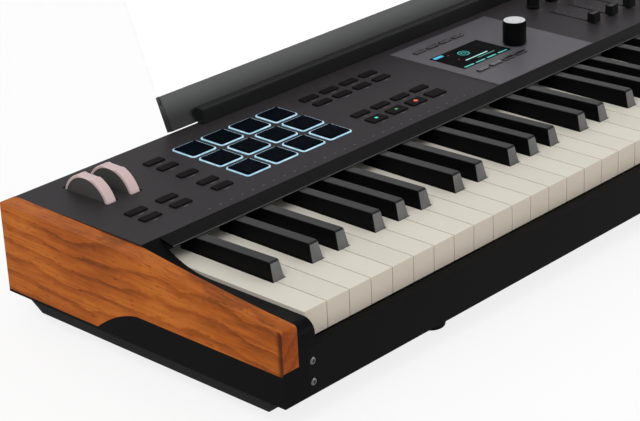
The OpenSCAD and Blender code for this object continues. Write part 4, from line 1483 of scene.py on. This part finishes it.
@dataclass
class FaderCap:
    """A fader cap with a scooped top, a raised grip line and its stem."""

    number: int
    cap_h: float = 10.0 * MM
    scoop: float = 1.5 * MM
    flare: float = 0.8 * MM
    line_w: float = 0.7 * MM
    stem: tuple[float, float] = (1.2 * MM, 6.0 * MM)

    def build(self) -> None:
        """Builds the cap on its stem, with its line."""
        node = f"fader_cap_{self.number}"
        box = node_box(node)
        body = f"fader_{self.number}"
        low = Vector((box.low.x, box.low.y, box.high.z - self.cap_h))
        work = Workpiece()
        work.block(low, box.high)
        bmesh.ops.subdivide_edges(
            work.bm,
            edges=[edge for edge in work.bm.edges if abs(edge.verts[0].co.y - edge.verts[1].co.y) > 1 * MM],
            cuts=7,
            use_grid_fill=True,
        )
        half = box.size.y / 2
        for vert in work.bm.verts:
            share = (vert.co.y - box.middle.y) / half
            if vert.co.z > box.high.z - 1 * MM:
                vert.co.z -= self.scoop * (1 - share * share)
                vert.co.y -= self.flare * share * 0.5
                vert.co.x -= math.copysign(self.flare * 0.5, vert.co.x - box.middle.x)
        work.soften(0.5 * MM, 3, 40.0)
        middle = box.middle
        work.block(
            (middle.x - self.stem[0] / 2, middle.y - self.stem[1] / 2, box.low.z),
            (middle.x + self.stem[0] / 2, middle.y + self.stem[1] / 2, low.z + 0.5 * MM),
        )
        work.finish(f"fader_{self.number}_cap", body, CAP_PLASTIC, [node])
        self.line(box, body)

    def line(self, box: Box, body: str) -> None:
        """Lays the white line across the bottom of the scoop."""
        work = Workpiece()
        level = box.high.z - self.scoop
        work.block(
            (box.low.x + self.flare, box.middle.y - self.line_w / 2, level - 0.4 * MM),
            (box.high.x - self.flare, box.middle.y + self.line_w / 2, level + 0.12 * MM),
        )
        work.soften(0.1 * MM, 2, 60.0)
        work.finish(f"fader_{self.number}_line", body, POINTER_INK)


# --- panel print -------------------------------------------------------------------------


@dataclass
class PanelPrint:
    """Plain dashes where the panel has print. They spell nothing."""

    film: float = 0.03 * MM
    dash: tuple[float, float] = (5.0 * MM, 0.7 * MM)
    label_gap: float = 2.2 * MM
    tick: tuple[float, float] = (2.4 * MM, 0.6 * MM)
    ticks: range = range(5, 33)
    scale_gap: float = 8.0 * MM

    def build(self) -> None:
        """Prints the dashes by the buttons, along the panel's front and beside the faders."""
        level = node_box("top_panel").high.z
        work = Workpiece()
        for box in solids("left_buttons") + solids("centre_buttons"):
            self.mark(work, box.middle.x, box.low.y - self.label_gap, level, self.dash)
        for number in self.ticks:
            across = KEY_BED.low.x + WHITE_PITCH * number / 2
            self.mark(work, across, PANEL_EDGE + self.scale_gap, level, self.tick)
        for number in COLUMNS:
            cap = node_box(f"fader_cap_{number}")
            for step in range(6):
                self.mark(work, cap.middle.x + 8 * MM, cap.middle.y + step * 10 * MM, level, self.tick)
            knob = node_box(f"knob_{number}")
            self.mark(work, knob.middle.x, knob.low.y - 3 * MM, level, self.dash)
        work.finish("panel_print", "case", PANEL_INK)

    def mark(
        self, work: Workpiece, across: float, deep: float, level: float, size: tuple[float, float]
    ) -> None:
        """Prints one dash about a middle point."""
        half_w, half_d = size[0] / 2, size[1] / 2
        high = (across + half_w, deep + half_d, level + self.film)
        work.block((across - half_w, deep - half_d, level), high)


# --- music rest and inside ---------------------------------------------------------------


@dataclass
class MusicRest:
    """The dark bar and the clear sheet."""

    bar_edge: float = 1.0 * MM
    sheet_edge: float = 0.35 * MM

    def build(self) -> None:
        """Rounds both pieces."""
        for node, name, finish, edge, segments in (
            ("music_rest_bar", "rest_bar_piece", REST_PAINT, self.bar_edge, 3),
            ("music_rest_panel", "rest_sheet", CLEAR_SHEET, self.sheet_edge, 2),
        ):
            round_off(node, name, finish, edge, segments, 40.0, "music_rest")


class Electronics:
    """Boards and pots inside the case."""

    def build(self) -> None:
        """Coats the boards and the cans."""
        coat("circuit_boards", GREEN_BOARD)
        coat("control_pots", POT_STEEL)


# --- studio ------------------------------------------------------------------------------


@dataclass
class Studio:
    """The floor, the soft light and the camera."""

    eye: Point = (-1.5150, -1.0910, 0.7269)
    heading: float = 47.388
    down: float = 24.317
    roll: float = -1.955
    lens: float = 114.605
    shift: tuple[float, float] = (-0.10095, 0.0187)
    sky: float = 0.62
    floor_lift: float = 0.82
    floor_side: float = 12.0

    def build(self) -> None:
        """Builds the studio round the object."""
        self.floor()
        self.world()
        self.lamp("key_lamp", (-1.5, -0.5, 1.9), 35.0, 1.0)
        self.lamp("front_lamp", (1.3, -1.5, 0.35), 30.0, 0.8)
        self.lamp("back_lamp", (0.4, 1.6, 1.2), 40.0, 0.35)
        self.camera()
        bpy.context.scene.view_settings.view_transform = "Standard"

    def floor(self) -> None:
        """Lays the pale floor, which keeps the object's shadow."""
        shape = bmesh.new()
        bmesh.ops.create_grid(shape, x_segments=1, y_segments=1, size=self.floor_side / 2)
        mesh = bpy.data.meshes.new("floor")
        shape.to_mesh(mesh)
        shape.free()
        floor = bpy.data.objects.new("floor", mesh)
        bpy.context.scene.collection.objects.link(floor)
        recipe = Recipe("floor_white")
        recipe.set(Base_Color=(0.93, 0.93, 0.93), Roughness=0.9, Specular_IOR_Level=0.1)
        white = recipe.node("ShaderNodeEmission", {}, {"Color": WHITE, "Strength": 1.0})
        share = recipe.seen() * self.floor_lift
        mixed = recipe.node(
            "ShaderNodeMixShader", {}, {0: share, 1: recipe.shader.outputs[0], 2: white.outputs[0]}
        )
        recipe.join(mixed.outputs[0], recipe.tree.nodes["Material Output"].inputs[0])
        mesh.materials.append(recipe.material)

    def world(self) -> None:
        """Gives an even sky, white where it is looked at."""
        world = bpy.data.worlds.new("studio_sky")
        world.use_nodes = True
        bpy.context.scene.world = world
        sky = NodeBench(world.node_tree)
        dim = sky.tree.nodes["Background"]
        sky.join(WHITE, dim.inputs["Color"])
        sky.join(self.sky, dim.inputs["Strength"])
        bright = sky.node("ShaderNodeBackground", {}, {"Color": WHITE, "Strength": 1.0})
        mixed = sky.node(
            "ShaderNodeMixShader", {}, {0: sky.seen(), 1: dim.outputs[0], 2: bright.outputs[0]}
        )
        sky.join(mixed.outputs[0], sky.tree.nodes["World Output"].inputs[0])

    def lamp(self, name: str, place: Point, spread: float, strength: float) -> None:
        """Hangs one wide, far lamp that shines at the object's middle.

        Args:
            name: Name of the lamp.
            place: The direction it shines from.
            spread: How wide it looks, in degrees.
            strength: Light that it gives a surface that faces it.
        """
        light = bpy.data.lights.new(name, "SUN")
        light.angle = math.radians(spread)
        light.energy = strength
        lamp = bpy.data.objects.new(name, light)
        lamp.location = place
        lamp.rotation_mode = "QUATERNION"
        lamp.rotation_quaternion = (-Vector(place)).to_track_quat("-Z", "Y")
        bpy.context.scene.collection.objects.link(lamp)

    def camera(self) -> None:
        """Sets the camera up in front of the low notes."""
        heading, down, roll = (math.radians(a) for a in (self.heading, self.down, self.roll))
        ahead = Vector(
            (math.cos(down) * math.sin(heading), math.cos(down) * math.cos(heading), -math.sin(down))
        )
        level = Vector((math.cos(heading), -math.sin(heading), 0.0))
        upright = level.cross(ahead)
        right = level * math.cos(roll) + upright * math.sin(roll)
        up = upright * math.cos(roll) - level * math.sin(roll)
        data = bpy.data.cameras.new("camera")
        data.lens = self.lens
        data.sensor_width = 36.0
        data.shift_x, data.shift_y = self.shift
        data.clip_start = 0.05
        camera = bpy.data.objects.new("camera", data)
        aim = Matrix((right, up, -ahead)).transposed().to_4x4()
        camera.matrix_world = Matrix.Translation(self.eye) @ aim
        bpy.context.scene.collection.objects.link(camera)
        bpy.context.scene.camera = camera


def main() -> None:
    """Builds the studio and every sub-assembly."""
    logging.basicConfig(level=logging.INFO, format="%(name)s: %(message)s")
    Studio().build()
    Case().build()
    Keyboard().build()
    for node in ("pitch_wheel", "mod_wheel"):
        Wheel(node).build()
    PadBank().build()
    Buttons().build()
    Screen().build()
    Encoder().build()
    for number in COLUMNS:
        Knob(number).build()
        FaderCap(number).build()
    PanelPrint().build()
    MusicRest().build()
    Electronics().build()


if __name__ == "__main__":
    main()
